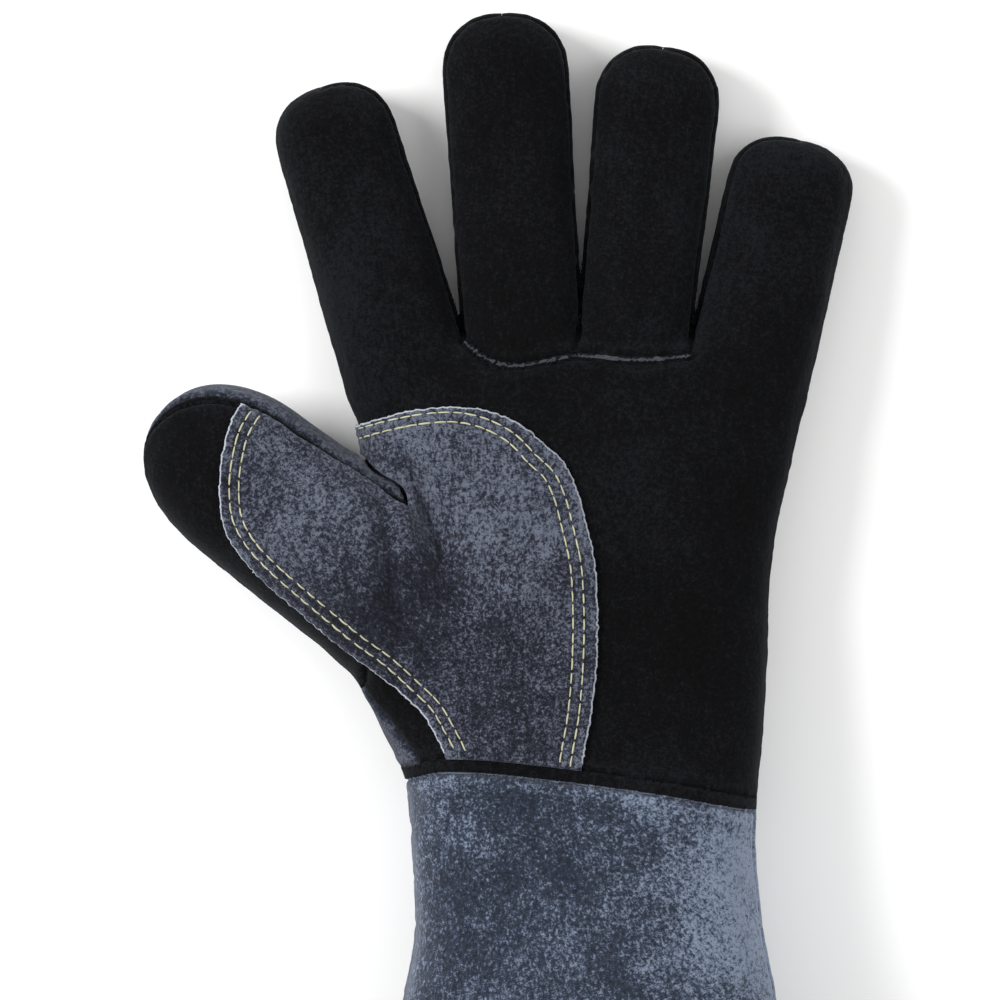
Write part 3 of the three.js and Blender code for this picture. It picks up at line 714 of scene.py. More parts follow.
FORK_SHARE = FORK_WIDTH / (2 * FINGER_HEIGHT)
SEAMS = (
    lambda places: places[:, 1] + CUFF_LENGTH,
    lambda places: over_wrist(places) - WRIST_WELT / 2,
    lambda places: over_wrist(places) + WRIST_WELT / 2,
    lambda places: over_sheet(places, HAND_SEAM),
    lambda places: over_sheet(places, CUFF_SEAM),
    lambda places: over_sheet(places, HAND_SEAM, FORK_SHARE),
    lambda places: over_sheet(places, HAND_SEAM, -FORK_SHARE),
    lambda places: over_thumb_seam(places) - THUMB_WELT / 2,
    lambda places: over_thumb_seam(places) + THUMB_WELT / 2,
    left_of_thumb_line,
    left_of_wrap,
    over_back_seam,
    lambda places: off_finger_seam(places) - FINGER_WELT / 2,
    *(lambda places, pair=pair: line_distance(places, divider(pair)) for pair in range(3)),
    *(lambda places, pair=pair: outline_distance(places, fork_outline(pair)) for pair in range(3)),
)
PIECES = (
    "palm_front", "middle_front", "ring_front", "finger_base_welt", "fourchette_index_middle",
    "fourchette_middle_ring", "fourchette_ring_little", "back_fingers", "back_hand", "thumb_front",
    "thumb_back", "thumb_welt", "wrist_welt", "cuff_front", "cuff_back",
)


def piece_of(places):
    """The number in PIECES of the piece at each place of the skin, or -1 past the cuff's mouth."""
    number = {name: index for index, name in enumerate(PIECES)}
    front = over_sheet(places, HAND_SEAM) > 0
    over_forks = over_sheet(places, HAND_SEAM, FORK_SHARE) > 0
    under_forks = over_sheet(places, HAND_SEAM, -FORK_SHARE) < 0
    made = np.where(front, number["palm_front"], number["back_fingers"])
    made[~front & (over_back_seam(places) < 0)] = number["back_hand"]
    for pair in range(3):
        inside = outline_distance(places, fork_outline(pair)) > 0
        made[inside & ~over_forks & ~under_forks] = number["fourchette_index_middle"] + pair
    for name, left, right in (("middle_front", 0, 1), ("ring_front", 1, 2)):
        inside = outline_distance(places, finger_zone(left, right)) > 0
        made[inside & (made == number["palm_front"])] = number[name]
    fronts = np.isin(made, [number[name] for name in ("palm_front", "middle_front", "ring_front")])
    made[fronts & (off_finger_seam(places) < FINGER_WELT / 2)] = number["finger_base_welt"]
    made[front & (left_of_wrap(places) > 0)] = number["back_hand"]
    wrapped = (left_of_wrap(places) > 0) & (places[:, 1] < WRAP_REACH * PALM_LENGTH)
    made[~front & wrapped] = number["back_hand"]
    thumb = left_of_thumb_line(places) > 0
    height = over_thumb_seam(places)
    made[thumb] = np.where(height[thumb] > 0, number["thumb_front"], number["thumb_back"])
    made[thumb & (np.abs(height) < THUMB_WELT / 2)] = number["thumb_welt"]
    wrist = over_wrist(places)
    cuff_front = over_sheet(places, CUFF_SEAM) > 0
    cuff = wrist < -WRIST_WELT / 2
    made[cuff] = np.where(cuff_front[cuff], number["cuff_front"], number["cuff_back"])
    made[np.abs(wrist) < WRIST_WELT / 2] = number["wrist_welt"]
    made[places[:, 1] < -CUFF_LENGTH] = -1
    return made


def shade_and_dye_at(places):
    """Painted light and shade, with some uneven dye: how much lighter places of the plan are."""
    tone = np.zeros(len(places))
    for across, along, radius, lighter in SHADE_AND_DYE_PLACES:
        away = (places[:, :2] - plan((across, along))) / (radius * PALM_LENGTH)
        tone += lighter * np.exp(-(away**2).sum(axis=1))
    return tone


def crease_depth(places):
    """How far the creases press the leather down at places of the plan."""
    depth = np.zeros(len(places))
    for across, along, length, width, turn, deep in CREASES:
        axis, side = directions(turn)
        away = places[:, :2] - plan((across, along))
        lengthwise = away @ axis / (length * PALM_LENGTH)
        crosswise = away @ side / (width * PALM_LENGTH)
        depth += deep * np.exp(-(lengthwise**2) - crosswise**2)
    return depth


def spread(corners, sign):
    """The forms with the narrow gaps between the fingers opened (sign 1) or closed again (-1), so
    that joining them doesn't shut a gap narrower than the skin's faces."""
    corners = corners.copy()
    grid = np.linspace(-GAP_REACH, GAP_REACH, 1601)
    for pair in range(3):
        line = divider(pair)
        run = line[-1] - line[1]
        across = np.array((-run[1], run[0])) / np.hypot(*run)
        at = corners[:, 1] - PALM_LENGTH
        share = smooth_step((at + 8) / 10) * smooth_step((70 - at) / 20)
        below = line[0] - (line[1] - line[0]) * 3
        offset = np.clip(line_distance(corners, np.array([below, *line])), grid[0], grid[-1])
        wider = grid + GAP_SPREAD * np.tanh(grid / 0.8) * np.exp(-((grid / GAP_FADE) ** 2))
        moved = np.interp(offset, grid, wider) if sign > 0 else np.interp(offset, wider, grid)
        corners[:, :2] += ((moved - offset) * share)[:, None] * across
    return corners


@cache
def skin(voxel, lumps):
    """The creased outer skin: corners, triangles and each triangle's piece number."""
    forms = [body_form(), thumb_form(), *(finger_form(name) for name in FINGERS)]
    corners, faces = joined(forms)
    corners, triangles = remeshed(spread(corners, 1), faces, voxel)
    corners = spread(corners, -1)
    corners = relaxed(corners, triangles, SMOOTH_ROUNDS, FILLET_ROUNDS)
    for seam in SEAMS:
        corners, triangles, _ = cut(corners, triangles, seam(corners))
    pieces = piece_of(corners[triangles].mean(axis=1))
    normals = normals_of(corners, triangles)
    facing = np.clip(normals[:, 2] * 1.6, 0, 1)
    cuff = np.clip(-over_wrist(corners) / CUFF_EASE, 0, 1)
    long_wave = noise_sum(corners * (1, 0.4, 1), [CUFF_WAVE])
    rise = lumps * (0.75 * noise_sum(corners, LUMPS) + cuff * long_wave)
    corners = corners + normals * (rise * np.clip(facing + 0.35, 0, 1))[:, None]
    corners[:, 2] -= crease_depth(corners) * facing
    corners[:, 2] = np.maximum(corners[:, 2], TABLE_CLEARANCE)
    return corners, triangles, pieces


@cache
def seamed_skin(voxel, lumps, draw_in):
    """The skin with its leather drawn in along the seams: corners, triangles, normals, piece numbers,
    distance to the seams and height over the surroundings."""
    corners, triangles, pieces = skin(voxel, lumps)

    def seam_distance():
        owners = np.full(len(corners), -2)
        mixed = np.zeros(len(corners), bool)
        for column in range(3):
            owners[triangles[:, column]] = pieces
        for column in range(3):
            mixed[triangles[:, column]] |= owners[triangles[:, column]] != pieces
        return distance_to(corners, corners[mixed])

    for width in FINE_CUTS:
        corners, triangles, parents = cut(corners, triangles, seam_distance() - width, 0.25)
        pieces = pieces[parents]
    distance = seam_distance()
    normals = normals_of(corners, triangles)
    pucker = 1 + 0.5 * noise_at(corners, 3.5, 2.2)
    groove = GROOVE_DEPTH * np.exp(-((distance / GROOVE_WIDTH) ** 2))
    shape = ROLL_HEIGHT * np.exp(-(((distance - ROLL_AT) / ROLL_WIDTH) ** 2)) * pucker - groove
    welts = np.isin(pieces, [PIECES.index(name) for name in PIECES if name.endswith("welt")])
    on_welt = np.zeros(len(corners), bool)
    on_welt[triangles[welts].ravel()] = True
    shape = np.where(on_welt, WELT_SINK + WELT_ROUND * np.clip(distance / 0.7, 0, 1) ** 0.6, shape)
    for name in FINGERS:
        tip = np.append(beside(name, finger_places(name)[2], 0), WIDEST * FINGER_HEIGHT)
        away = np.linalg.norm(corners - tip, axis=1)
        shape = shape * (1 - 0.9 * np.exp(-((away / TIP_EASE) ** 2)))
    corners = corners + normals * (draw_in * shape)[:, None]
    corners[:, 2] = np.maximum(corners[:, 2], TABLE_CLEARANCE)
    normals = normals_of(corners, triangles)
    return corners, triangles, normals, pieces, distance, ridge_of(corners, triangles, normals)


# Making objects


def thick(corners, triangles, normals, thickness, values):
    """A closed body of the sheet and its inner side, with values repeated on both."""
    borders = border_edges(triangles)
    count = len(corners)
    inner = corners - normals * thickness
    inner[:, 2] = np.maximum(inner[:, 2], TABLE_CLEARANCE)
    start, end = borders.T
    rim = [np.column_stack(part) for part in ((start, start + count, end), (end, start + count, end + count))]
    faces = np.concatenate([triangles, triangles[:, ::-1] + count, *rim])
    return np.concatenate([corners, inner]), faces, [np.concatenate([value, value]) for value in values]


def place_piece(name, mesh, slot, *replaced):
    """A finished mesh as a piece of the glove."""
    piece = linked(name, mesh)
    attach(piece, "root")
    if replaced:
        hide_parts(*replaced)


def make_leather(name, corners, faces, attributes, material, slot):
    """A piece of leather in place of the solid of its name."""
    mesh = new_mesh(name, ((corners + HAND_PLACE) * MM).tolist(), faces.tolist())
    for key, values in attributes.items():
        layer = mesh.attributes.new(key, "FLOAT", "POINT")
        layer.data.foreach_set("value", values.astype(np.float32))
    mesh.shade_smooth()
    mesh.set_sharp_from_angle(angle=math.radians(SHARP_EDGE))
    mesh.materials.append(material)
    place_piece(name + "_leather", mesh, slot, name)


def make_sewn_piece(name, settings, material, slot):
    """One sewn piece of the glove, cut out of the seamed skin."""
    sizes = (settings.voxel, settings.lumps, settings.draw_in)
    corners, triangles, normals, pieces, distance, ridge = seamed_skin(*sizes)
    chosen = triangles[pieces == PIECES.index(name)]
    if not len(chosen):
        raise RuntimeError(f"no leather for {name}")
    corners, chosen, normals, distance, ridge = compact(corners, chosen, normals, distance, ridge)
    edges = edges_of(chosen)
    rim = np.unique(border_edges(chosen))
    inward = neighbour_mean(corners, edges, len(corners))[rim] - corners[rim]
    length = np.maximum(np.linalg.norm(inward, axis=1), 1e-6)[:, None]
    corners[rim] += inward / length * np.minimum(length * 0.4, settings.seam_gap / 2)
    values = (distance, ridge)
    corners, faces, (distance, ridge) = thick(corners, chosen, normals, settings.thickness, values)
    # Painted light and shade for the suede: broad lighter and darker places with some uneven dye, and ridges
    # for a painted highlight
    attributes = {"edge": distance, "ridge": ridge, "shade_and_dye": shade_and_dye_at(corners)}
    make_leather(name, corners, faces, attributes, material, slot)


# Materials


def rgb(colour):
    """Linear colour of an sRGB hex colour."""
    parts = [int(colour[index : index + 2], 16) / 255 for index in (0, 2, 4)]
    linear = [part / 12.92 if part <= 0.04045 else ((part + 0.055) / 1.055) ** 2.4 for part in parts]
    return (*linear, 1.0)


def colour_of(part, tone):
    """A tone of a part's colour, from the settings."""
    return tuple(getattr(bpy.context.scene.gauntlet_colours, f"{part}_{tone}"))


def add_node(tree, kind, inputs=None, **settings):
    """A node with its settings. Inputs give each socket a value or an output to link."""
    made = tree.nodes.new(kind)
    for key, value in settings.items():
        setattr(made, key, value)
    for key, value in (inputs or {}).items():
        if isinstance(value, bpy.types.NodeSocket):
            tree.links.new(value, made.inputs[key])
        else:
            made.inputs[key].default_value = value
    return made


def new_material(name):
    material = bpy.data.materials.new(name)
    material.use_nodes = True
    material.node_tree.nodes.clear()
    return material, material.node_tree


def finish_material(tree, shader):
    add_node(tree, "ShaderNodeOutputMaterial", {"Surface": shader})


def add_noise(tree, vector, size, detail, roughness):
    """Noise with features of a size in millimetres."""
    scale = {"Vector": vector, "Scale": 1 / (size * MM), "Detail": detail, "Roughness": roughness}
    return add_node(tree, "ShaderNodeTexNoise", scale).outputs["Fac"]


def add_math(tree, operation, first, second=0.0, third=0.0, clamp=False):
    inputs = {0: first, 1: second, 2: third}
    return add_node(tree, "ShaderNodeMath", inputs, operation=operation, use_clamp=clamp).outputs[0]


def add_blend(tree, factor, first, second):
    """A mix of two colours; the numbers are the node's sockets for colours."""
    inputs = {0: factor, 6: first, 7: second}
    return add_node(tree, "ShaderNodeMix", inputs, data_type="RGBA").outputs[2]


def suede(name, leather, contrast, edge_width, sheen):
    """Napped split leather, in the tones that COLOURS has for it.

    Its sanded fibres scatter the light, so it is matt at every angle with a faint sheen. They lie in
    brushed strokes. Broad places carry painted light and shade with some uneven dye, and ridges are
    painted lighter, partly wear and partly painted highlight. Nap and fibre are drawn several times
    coarser than the real ones of about 0.1 mm, which would be too fine to show.
    """
    material, tree = new_material(name)
    place = add_node(tree, "ShaderNodeTexCoord").outputs["Object"]
    brushed = add_node(
        tree, "ShaderNodeMapping", {"Vector": place, "Rotation": (0, 0, 0.5), "Scale": (1.0, 0.4, 1.0)}
    ).outputs[0]
    clouds = add_noise(tree, place, 46, 3, 0.5)
    blotches = add_noise(tree, place, 13, 3, 0.6)
    strokes = add_noise(tree, brushed, 2.6, 3, 0.75)
    nap = add_noise(tree, place, 1.25, 2, 0.8)
    fibre = add_noise(tree, place, 0.62, 2, 0.8)
    ridge, edge, shade_and_dye = (
        add_node(tree, "ShaderNodeAttribute", attribute_name=key).outputs["Fac"]
        for key in ("ridge", "edge", "shade_and_dye")
    )
    tone = add_math(tree, "MULTIPLY", clouds, 0.22)
    for part, share in ((blotches, 0.06), (strokes, 0.14), (nap, 0.32), (fibre, 0.26)):
        tone = add_math(tree, "MULTIPLY_ADD", part, share, tone)
    tone = add_math(tree, "MULTIPLY_ADD", tone, contrast, 0.5 - contrast * 0.5)
    # Painted light and shade: broad places made lighter or darker, with some uneven dye
    tone = add_math(tree, "ADD", tone, shade_and_dye)
    # Ridges painted lighter: partly wear, partly painted highlight
    tone = add_math(tree, "MULTIPLY_ADD", ridge, 0.45, tone, clamp=True)
    ramp = add_node(tree, "ShaderNodeValToRGB", {"Fac": tone})
    stops = ramp.color_ramp.elements
    stops[0].position, stops[0].color = 0.05, colour_of(leather, "dark")
    stops[1].position, stops[1].color = 0.95, colour_of(leather, "light")
    middle = stops.new(0.5)
    middle.color = colour_of(leather, "middle")
    worn = add_math(tree, "MULTIPLY_ADD", nap, -edge_width * 1.2, edge)
    worn = add_node(
        tree,
        "ShaderNodeMapRange",
        {"Value": worn, "From Min": 0.0, "From Max": edge_width * 0.5, "To Min": 1.0, "To Max": 0.0},
        interpolation_type="SMOOTHSTEP",
    ).outputs[0]
    colour = add_blend(tree, worn, ramp.outputs["Color"], colour_of(leather, "cut"))
    height = add_math(tree, "MULTIPLY_ADD", fibre, 0.5, nap)
    height = add_math(tree, "MULTIPLY_ADD", strokes, 1.2, height)
    bump = add_node(tree, "ShaderNodeBump", {"Strength": 0.8, "Distance": 0.36 * MM, "Height": height})
    shader = add_node(
        tree,
        "ShaderNodeBsdfPrincipled",
        {
            "Base Color": colour,
            "Roughness": 0.94,
            "Specular IOR Level": 0.06,
            "Sheen Weight": sheen,
            "Sheen Roughness": 0.55,
            "Sheen Tint": (0.75, 0.8, 0.92, 1.0),
            "Normal": bump.outputs[0],
        },
    )
    finish_material(tree, shader.outputs[0])
    return material


@cache
def black_suede():
    """Palm, fingers, thumb and the band at the wrist."""
    return suede("Split leather, napped black", "black", 4.2, 0.4, 0.03)


@cache
def cuff_suede():
    """The cuff, whose nap is the palest and bluest."""
    return suede("Split leather, napped blue-grey", "cuff", 4.8, 0.4, 0.3)


@cache
def patch_suede():
    """The reinforcement, whose cut edge frays pale."""
    return suede("Split leather, napped slate", "patch", 5.4, 0.5, 0.16)


@cache
def slate_suede():
    """The backs of hand and thumb, whose edges are turned into the seams."""
    return suede("Split leather, napped slate, sewn edge", "back", 4.6, 0.4, 0.14)


@cache
def piping():
    """The strip in the seam at the fingers' foot, whose raw edge shows grey."""
    return suede("Split leather strip, raw grey edge", "strip", 2.0, 0.5, 0.04)


@cache
def thread():
    """Spun polyester sewing thread: matt, its twist a fine bump, its colour a little uneven."""
    material, tree = new_material("Sewing thread, pale yellow matt")
    place = add_node(tree, "ShaderNodeTexCoord").outputs["Object"]
    twist = add_noise(tree, place, 0.22, 2, 0.6)
    tint = add_noise(tree, place, 6, 2, 0.6)
    colour = add_blend(tree, tint, colour_of("thread", "dark"), colour_of("thread", "light"))
    bump = add_node(tree, "ShaderNodeBump", {"Strength": 0.5, "Distance": 0.05 * MM, "Height": twist})
    inputs = {"Base Color": colour, "Roughness": 0.7, "Sheen Weight": 0.3, "Normal": bump.outputs[0]}
    finish_material(tree, add_node(tree, "ShaderNodeBsdfPrincipled", inputs).outputs[0])
    return material


def floor_material():
    """Matt paper, evenly lit, with no gloss."""
    material, tree = new_material("Paper backdrop, matt white")
    place = add_node(tree, "ShaderNodeTexCoord").outputs["Object"]
    tint = add_noise(tree, place, 900, 2, 0.5)
    colour = add_blend(tree, tint, rgb("f3f3f3"), rgb("f6f6f5"))
    inputs = {"Base Color": colour, "Roughness": 0.9, "Specular IOR Level": 0.1}
    finish_material(tree, add_node(tree, "ShaderNodeBsdfPrincipled", inputs).outputs[0])
    return material


# Reinforcement and stitches


def patch_outline():
    """The reinforcement's outline in plan, rounded."""
    return resampled(plan(PATCH_OUTLINE), 1.5, closed=True)


def stitch_lines():
    """The stitch rows' plan lines, each set in from the outline."""
    lines = []
    for first, last, insets in STITCH_ROWS:
        points = plan(PATCH_OUTLINE)[first : last + 1]
        run = np.gradient(points, axis=0)
        run /= np.linalg.norm(run, axis=1)[:, None]
        inward = np.column_stack([-run[:, 1], run[:, 0]])
        keys, sizes = zip(*insets)
        inset = np.interp(np.arange(first, last + 1), keys, sizes)
        lines.append(resampled(points + inward * inset[:, None], 0.8))
    return lines


@cache
def patch_surface(voxel, lumps, thickness, fray):
    """The reinforcement's outer side: corners, triangles, normals, distance to the cut edge, thickness."""
    corners, triangles, pieces = skin(voxel, lumps)
    outline = patch_outline()

    def inside_ragged(places):
        return outline_distance(places, outline) + fray * noise_sum(places, FRAY_NOISE)

    under = np.isin(pieces, [PIECES.index(name) for name in ("palm_front", "thumb_front", "back_hand")])
    facing = normals_of(corners, triangles)[triangles].mean(axis=1)[:, 2] > -0.2
    near = outline_distance(corners[triangles].mean(axis=1), outline) > -PATCH_MARGIN
    corners, chosen = compact(corners, triangles[under & near & facing])
    corners, chosen = subdivided(corners, chosen)
    corners, chosen, _ = cut(corners, chosen, inside_ragged(corners))
    corners, chosen = compact(corners, chosen[inside_ragged(corners[chosen].mean(axis=1)) > 0])
    normals = normals_of(corners, chosen)
    border = corners[np.unique(border_edges(chosen))]
    raw = (np.abs(outline_distance(border, outline)) < RAW_REACH) & (over_wrist(border) > WRIST_WELT)
    edge = distance_to(corners, border)
    raw_edge = distance_to(corners, border[raw])
    rows = np.concatenate(stitch_lines())
    flat = np.column_stack([rows, np.zeros(len(rows))])
    row = distance_to(corners * (1, 1, 0), flat)
    rise = thickness * (0.62 + 0.38 * np.clip(edge / 0.9, 0, 1) ** 0.5)
    rise -= PRESS_DEPTH * np.exp(-((row / PRESS_WIDTH) ** 2))
    rise += 0.25 * noise_at(corners, 2.6, 6.6) * np.exp(-((edge / 3) ** 2))
    return corners + normals * (PATCH_LIFT + rise)[:, None], chosen, normals, raw_edge, rise


def patch_sizes(leather):
    return leather.voxel, leather.lumps, leather.patch_thickness, leather.fray


def make_patch(leather):
    """The reinforcement over thumb and palm, as a closed body."""
    corners, triangles, normals, edge, rise = patch_surface(*patch_sizes(leather))
    outer = normals_of(corners, triangles)
    # The patch's ridges, half as strong again, are painted lighter: painted highlight on its bulges, partly
    # wear
    ridge = ridge_of(corners, triangles, outer) * 1.5
    corners, faces, (edge, ridge) = thick(corners, triangles, normals, rise[:, None], (edge, ridge))
    # Painted light and shade for the suede: broad lighter and darker places with some uneven dye, and ridges
    # for a painted highlight
    attributes = {"edge": edge, "ridge": ridge, "shade_and_dye": shade_and_dye_at(corners)}
    make_leather("palm_patch", corners, faces, attributes, patch_suede(), "blue_grey_suede")


def columns_at(at, run, values):
    """Every column of the values, read off at places along a run."""
    return np.column_stack([np.interp(at, run, column) for column in values.T])


def stitch_points(leather, stitches):
    """Middles, run directions and outward directions of the stitches."""
    corners, triangles, *_ = patch_surface(*patch_sizes(leather))
    tree = BVHTree.FromPolygons(corners.tolist(), triangles.tolist())
    middles, runs, outs = [], [], []
    pitch = stitches.stitch_pitch
    reach = 1.2  # half the stretch of a row that gives a stitch its direction
    generator = np.random.default_rng(stitches.seed)
    for line in stitch_lines():
        hits = [tree.ray_cast((x, y, 200), (0, 0, -1)) for x, y in line.tolist()]
        places = np.array([hit[0] for hit in hits if hit[0] is not None])
        normals = np.array([hit[1] for hit in hits if hit[0] is not None])
        run = np.concatenate([[0], np.cumsum(np.linalg.norm(np.diff(places, axis=0), axis=1))])
        at = np.arange(pitch * 0.6, run[-1] - pitch * 0.5, pitch)
        at = at + generator.normal(0, 0.06 * pitch, len(at))
        middles.append(columns_at(at, run, places))
        runs.append(columns_at(at + reach, run, places) - columns_at(at - reach, run, places))
        outs.append(columns_at(at, run, normals))
    return np.concatenate(middles), np.concatenate(runs), np.concatenate(outs)


def stitch_tree():
    """Geometry nodes that lay one arched stitch of thread on every point."""
    tree = bpy.data.node_groups.new("Stitches on points", "GeometryNodeTree")
    sockets = {}
    for name, kind in (
        ("Geometry", "NodeSocketGeometry"),
        ("Stitch Length", "NodeSocketFloat"),
        ("Thread Radius", "NodeSocketFloat"),
        ("Arch", "NodeSocketFloat"),
        ("Seed", "NodeSocketInt"),
        ("Material", "NodeSocketMaterial"),
    ):
        sockets[name] = tree.interface.new_socket(name, in_out="INPUT", socket_type=kind)
    tree.interface.new_socket("Geometry", in_out="OUTPUT", socket_type="NodeSocketGeometry")
    inputs = add_node(tree, "NodeGroupInput").outputs
    half = add_math(tree, "MULTIPLY", inputs["Stitch Length"], 0.5)
    back = add_math(tree, "MULTIPLY", half, -1.0)
    under = add_math(tree, "MULTIPLY", inputs["Thread Radius"], -0.9)
    crest = add_math(tree, "MULTIPLY", inputs["Arch"], 2.0)
    start = add_node(tree, "ShaderNodeCombineXYZ", {"X": back, "Z": under}).outputs[0]
    middle = add_node(tree, "ShaderNodeCombineXYZ", {"Z": crest}).outputs[0]
    end = add_node(tree, "ShaderNodeCombineXYZ", {"X": half, "Z": under}).outputs[0]
    arc = add_node(
        tree,
        "GeometryNodeCurveQuadraticBezier",
        {"Resolution": 5, "Start": start, "Middle": middle, "End": end},
    )
    circle = add_node(
        tree, "GeometryNodeCurvePrimitiveCircle", {"Resolution": 6, "Radius": inputs["Thread Radius"]}
    )
    tube = add_node(
        tree,
        "GeometryNodeCurveToMesh",
        {"Curve": arc.outputs[0], "Profile Curve": circle.outputs[0], "Fill Caps": True},
    )
    run = add_node(tree, "GeometryNodeInputNamedAttribute", {"Name": "run"}, data_type="FLOAT_VECTOR")
    out = add_node(tree, "GeometryNodeInputNamedAttribute", {"Name": "out"}, data_type="FLOAT_VECTOR")
    lying = add_node(tree, "FunctionNodeAlignRotationToVector", {"Vector": run.outputs[0]}, axis="X")
    upright = add_node(
        tree,
        "FunctionNodeAlignRotationToVector",
        {"Rotation": lying.outputs[0], "Vector": out.outputs[0]},
        axis="Z",
        pivot_axis="X",
    )
    size = add_node(
        tree,
        "FunctionNodeRandomValue",
        {"Min": (0.9, 0.85, 0.85), "Max": (1.08, 1.1, 1.15), "Seed": inputs["Seed"]},
        data_type="FLOAT_VECTOR",
    )
    laid = add_node(
        tree,
        "GeometryNodeInstanceOnPoints",
        {
            "Points": inputs["Geometry"],
            "Instance": tube.outputs[0],
            "Rotation": upright.outputs[0],
            "Scale": size.outputs[0],
        },
    )
    real = add_node(tree, "GeometryNodeRealizeInstances", {"Geometry": laid.outputs[0]})
    dressed = add_node(
        tree, "GeometryNodeSetMaterial", {"Geometry": real.outputs[0], "Material": inputs["Material"]}
    )
    add_node(tree, "NodeGroupOutput", {"Geometry": dressed.outputs[0]})
    return tree, {name: socket.identifier for name, socket in sockets.items()}


def make_stitches(leather, stitches):
    """The reinforcement's rows of stitches, as one mesh."""
    middles, runs, outs = stitch_points(leather, stitches)
    mesh = new_mesh("stitch_points", ((middles + HAND_PLACE) * MM).tolist(), [])
    for name, values in (("run", runs), ("out", outs)):
        layer = mesh.attributes.new(name, "FLOAT_VECTOR", "POINT")
        layer.data.foreach_set("vector", values.astype(np.float32).ravel())
    points = linked("stitch_points", mesh)
    tree, identifiers = stitch_tree()
    modifier = points.modifiers.new("stitches", "NODES")
    modifier.node_group = tree
    for name, value in (
        ("Stitch Length", stitches.stitch_length * MM),
        ("Thread Radius", stitches.thread_width / 2 * MM),
        ("Arch", stitches.thread_width * ARCH_SHARE * MM),
        ("Seed", stitches.seed),
        ("Material", thread()),
    ):
        modifier[identifiers[name]] = value
    graph = bpy.context.evaluated_depsgraph_get()
    made = bpy.data.meshes.new_from_object(points.evaluated_get(graph))
    bpy.data.objects.remove(points)
    if not len(made.polygons):
        raise RuntimeError("the stitches came out empty")
    made.name = "patch_stitches"
    made.shade_smooth()
    place_piece("patch_stitches", made, "pale_thread")


# Stage


def make_floor():
    corners = [(x, y, FLOOR_DROP) for x, y in FLOOR_CORNERS]
    floor = linked("floor", new_mesh("floor", corners, [(0, 1, 2, 3)]))
    floor.data.materials.append(floor_material())


def add_light(name, place, size, power):
    """A soft square light that looks at the glove's middle."""
    data = bpy.data.lights.new(name, "AREA")
    data.size = size
    data.energy = power
    light = linked(name, data)
    light.location = place
    light.rotation_euler = (-light.location).to_track_quat("-Z", "Y").to_euler()


def light_room(strength):
    """Even white light from all round."""
    world = bpy.data.worlds.new("studio")
    world.use_nodes = True
    tree = world.node_tree
    tree.nodes.clear()
    sky = add_node(tree, "ShaderNodeBackground", {"Color": (1.0, 1.0, 1.0, 1.0), "Strength": strength})
    add_node(tree, "ShaderNodeOutputWorld", {"Surface": sky.outputs[0]})
    bpy.context.scene.world = world


def place_camera(focal_length, view_width):
    """A camera that looks straight down, as the photograph does."""
    lens = bpy.data.cameras.new("camera")
    lens.lens = focal_length
    lens.sensor_width = SENSOR_WIDTH
    camera = linked("camera", lens)
    camera.location = (*CAMERA_PLACE, PALM_LEVEL + view_width * focal_length / SENSOR_WIDTH)
    bpy.context.scene.camera = camera


# Settings, operators and panel


class GauntletLeather(bpy.types.PropertyGroup):
    """Settings of the leather pieces, in millimetres."""

    voxel: bpy.props.FloatProperty(
        name="Mesh Size",
        description="Size of the skin's faces in millimetres",
        default=1.15,
        min=0.6,
    )
    lumps: bpy.props.FloatProperty(
        name="Unevenness", description="How uneven the leather lies, in millimetres", default=0.8, min=0
    )
    draw_in: bpy.props.FloatProperty(
        name="Seam Depth", description="How strongly the seams draw the leather in", default=1.0, min=0
    )
    thickness: bpy.props.FloatProperty(
        name="Leather", description="Thickness of the leather in millimetres", default=2.0, min=0.5
    )
    seam_gap: bpy.props.FloatProperty(
        name="Seam Gap", description="Gap between sewn pieces in millimetres", default=0.3, min=0
    )
    patch_thickness: bpy.props.FloatProperty(
        name="Reinforcement", description="Its thickness in millimetres", default=1.4, min=0.5
    )
    fray: bpy.props.FloatProperty(
        name="Fray", description="How ragged its cut edge is, in millimetres", default=0.32, min=0
    )


class GauntletStitches(bpy.types.PropertyGroup):
    """Settings of the stitches, in millimetres."""

    stitch_length: bpy.props.FloatProperty(
        name="Length", description="Length of a stitch in millimetres", default=3.1, min=0.5
    )
    stitch_pitch: bpy.props.FloatProperty(
        name="Pitch", description="Distance from stitch to stitch in millimetres", default=3.9, min=0.5
    )
    thread_width: bpy.props.FloatProperty(
        name="Thread", description="Thickness of the thread in millimetres", default=0.5, min=0.1
    )
    seed: bpy.props.IntProperty(name="Seed", description="Seed of the stitches' irregularity", default=7)


def colour_setting(part, tone, colour):
    """A colour that a user can change."""
    return bpy.props.FloatVectorProperty(
        name=f"{part.title()} {tone.title()}",
        description=f"Tone of the {part}: {tone}",
        default=rgb(colour),
        size=4,
        min=0,
        max=1,
        subtype="COLOR",
    )


class GauntletColours(bpy.types.PropertyGroup):
    """Colours of each leather and of the thread."""

    __annotations__ = {
        f"{part}_{tone}": colour_setting(part, tone, colour)
        for part, tones in COLOURS.items()
        for tone, colour in tones.items()
    }


class GauntletStage(bpy.types.PropertyGroup):
    """Settings of the camera and the lights."""

    focal_length: bpy.props.FloatProperty(
        name="Focal Length", description="Camera's focal length in millimetres", default=400, min=50
    )
    view_width: bpy.props.FloatProperty(
        name="View Width",
        description="Width that the camera sees at the glove",
        default=0.2842,
        min=0.05,
        subtype="DISTANCE",
        unit="LENGTH",
    )
    key_power: bpy.props.FloatProperty(
        name="Key Light", description="Power of the key light in watts", default=34, min=0
    )
    room_light: bpy.props.FloatProperty(
        name="Room Light", description="Strength of the light from all round", default=0.75, min=0
    )


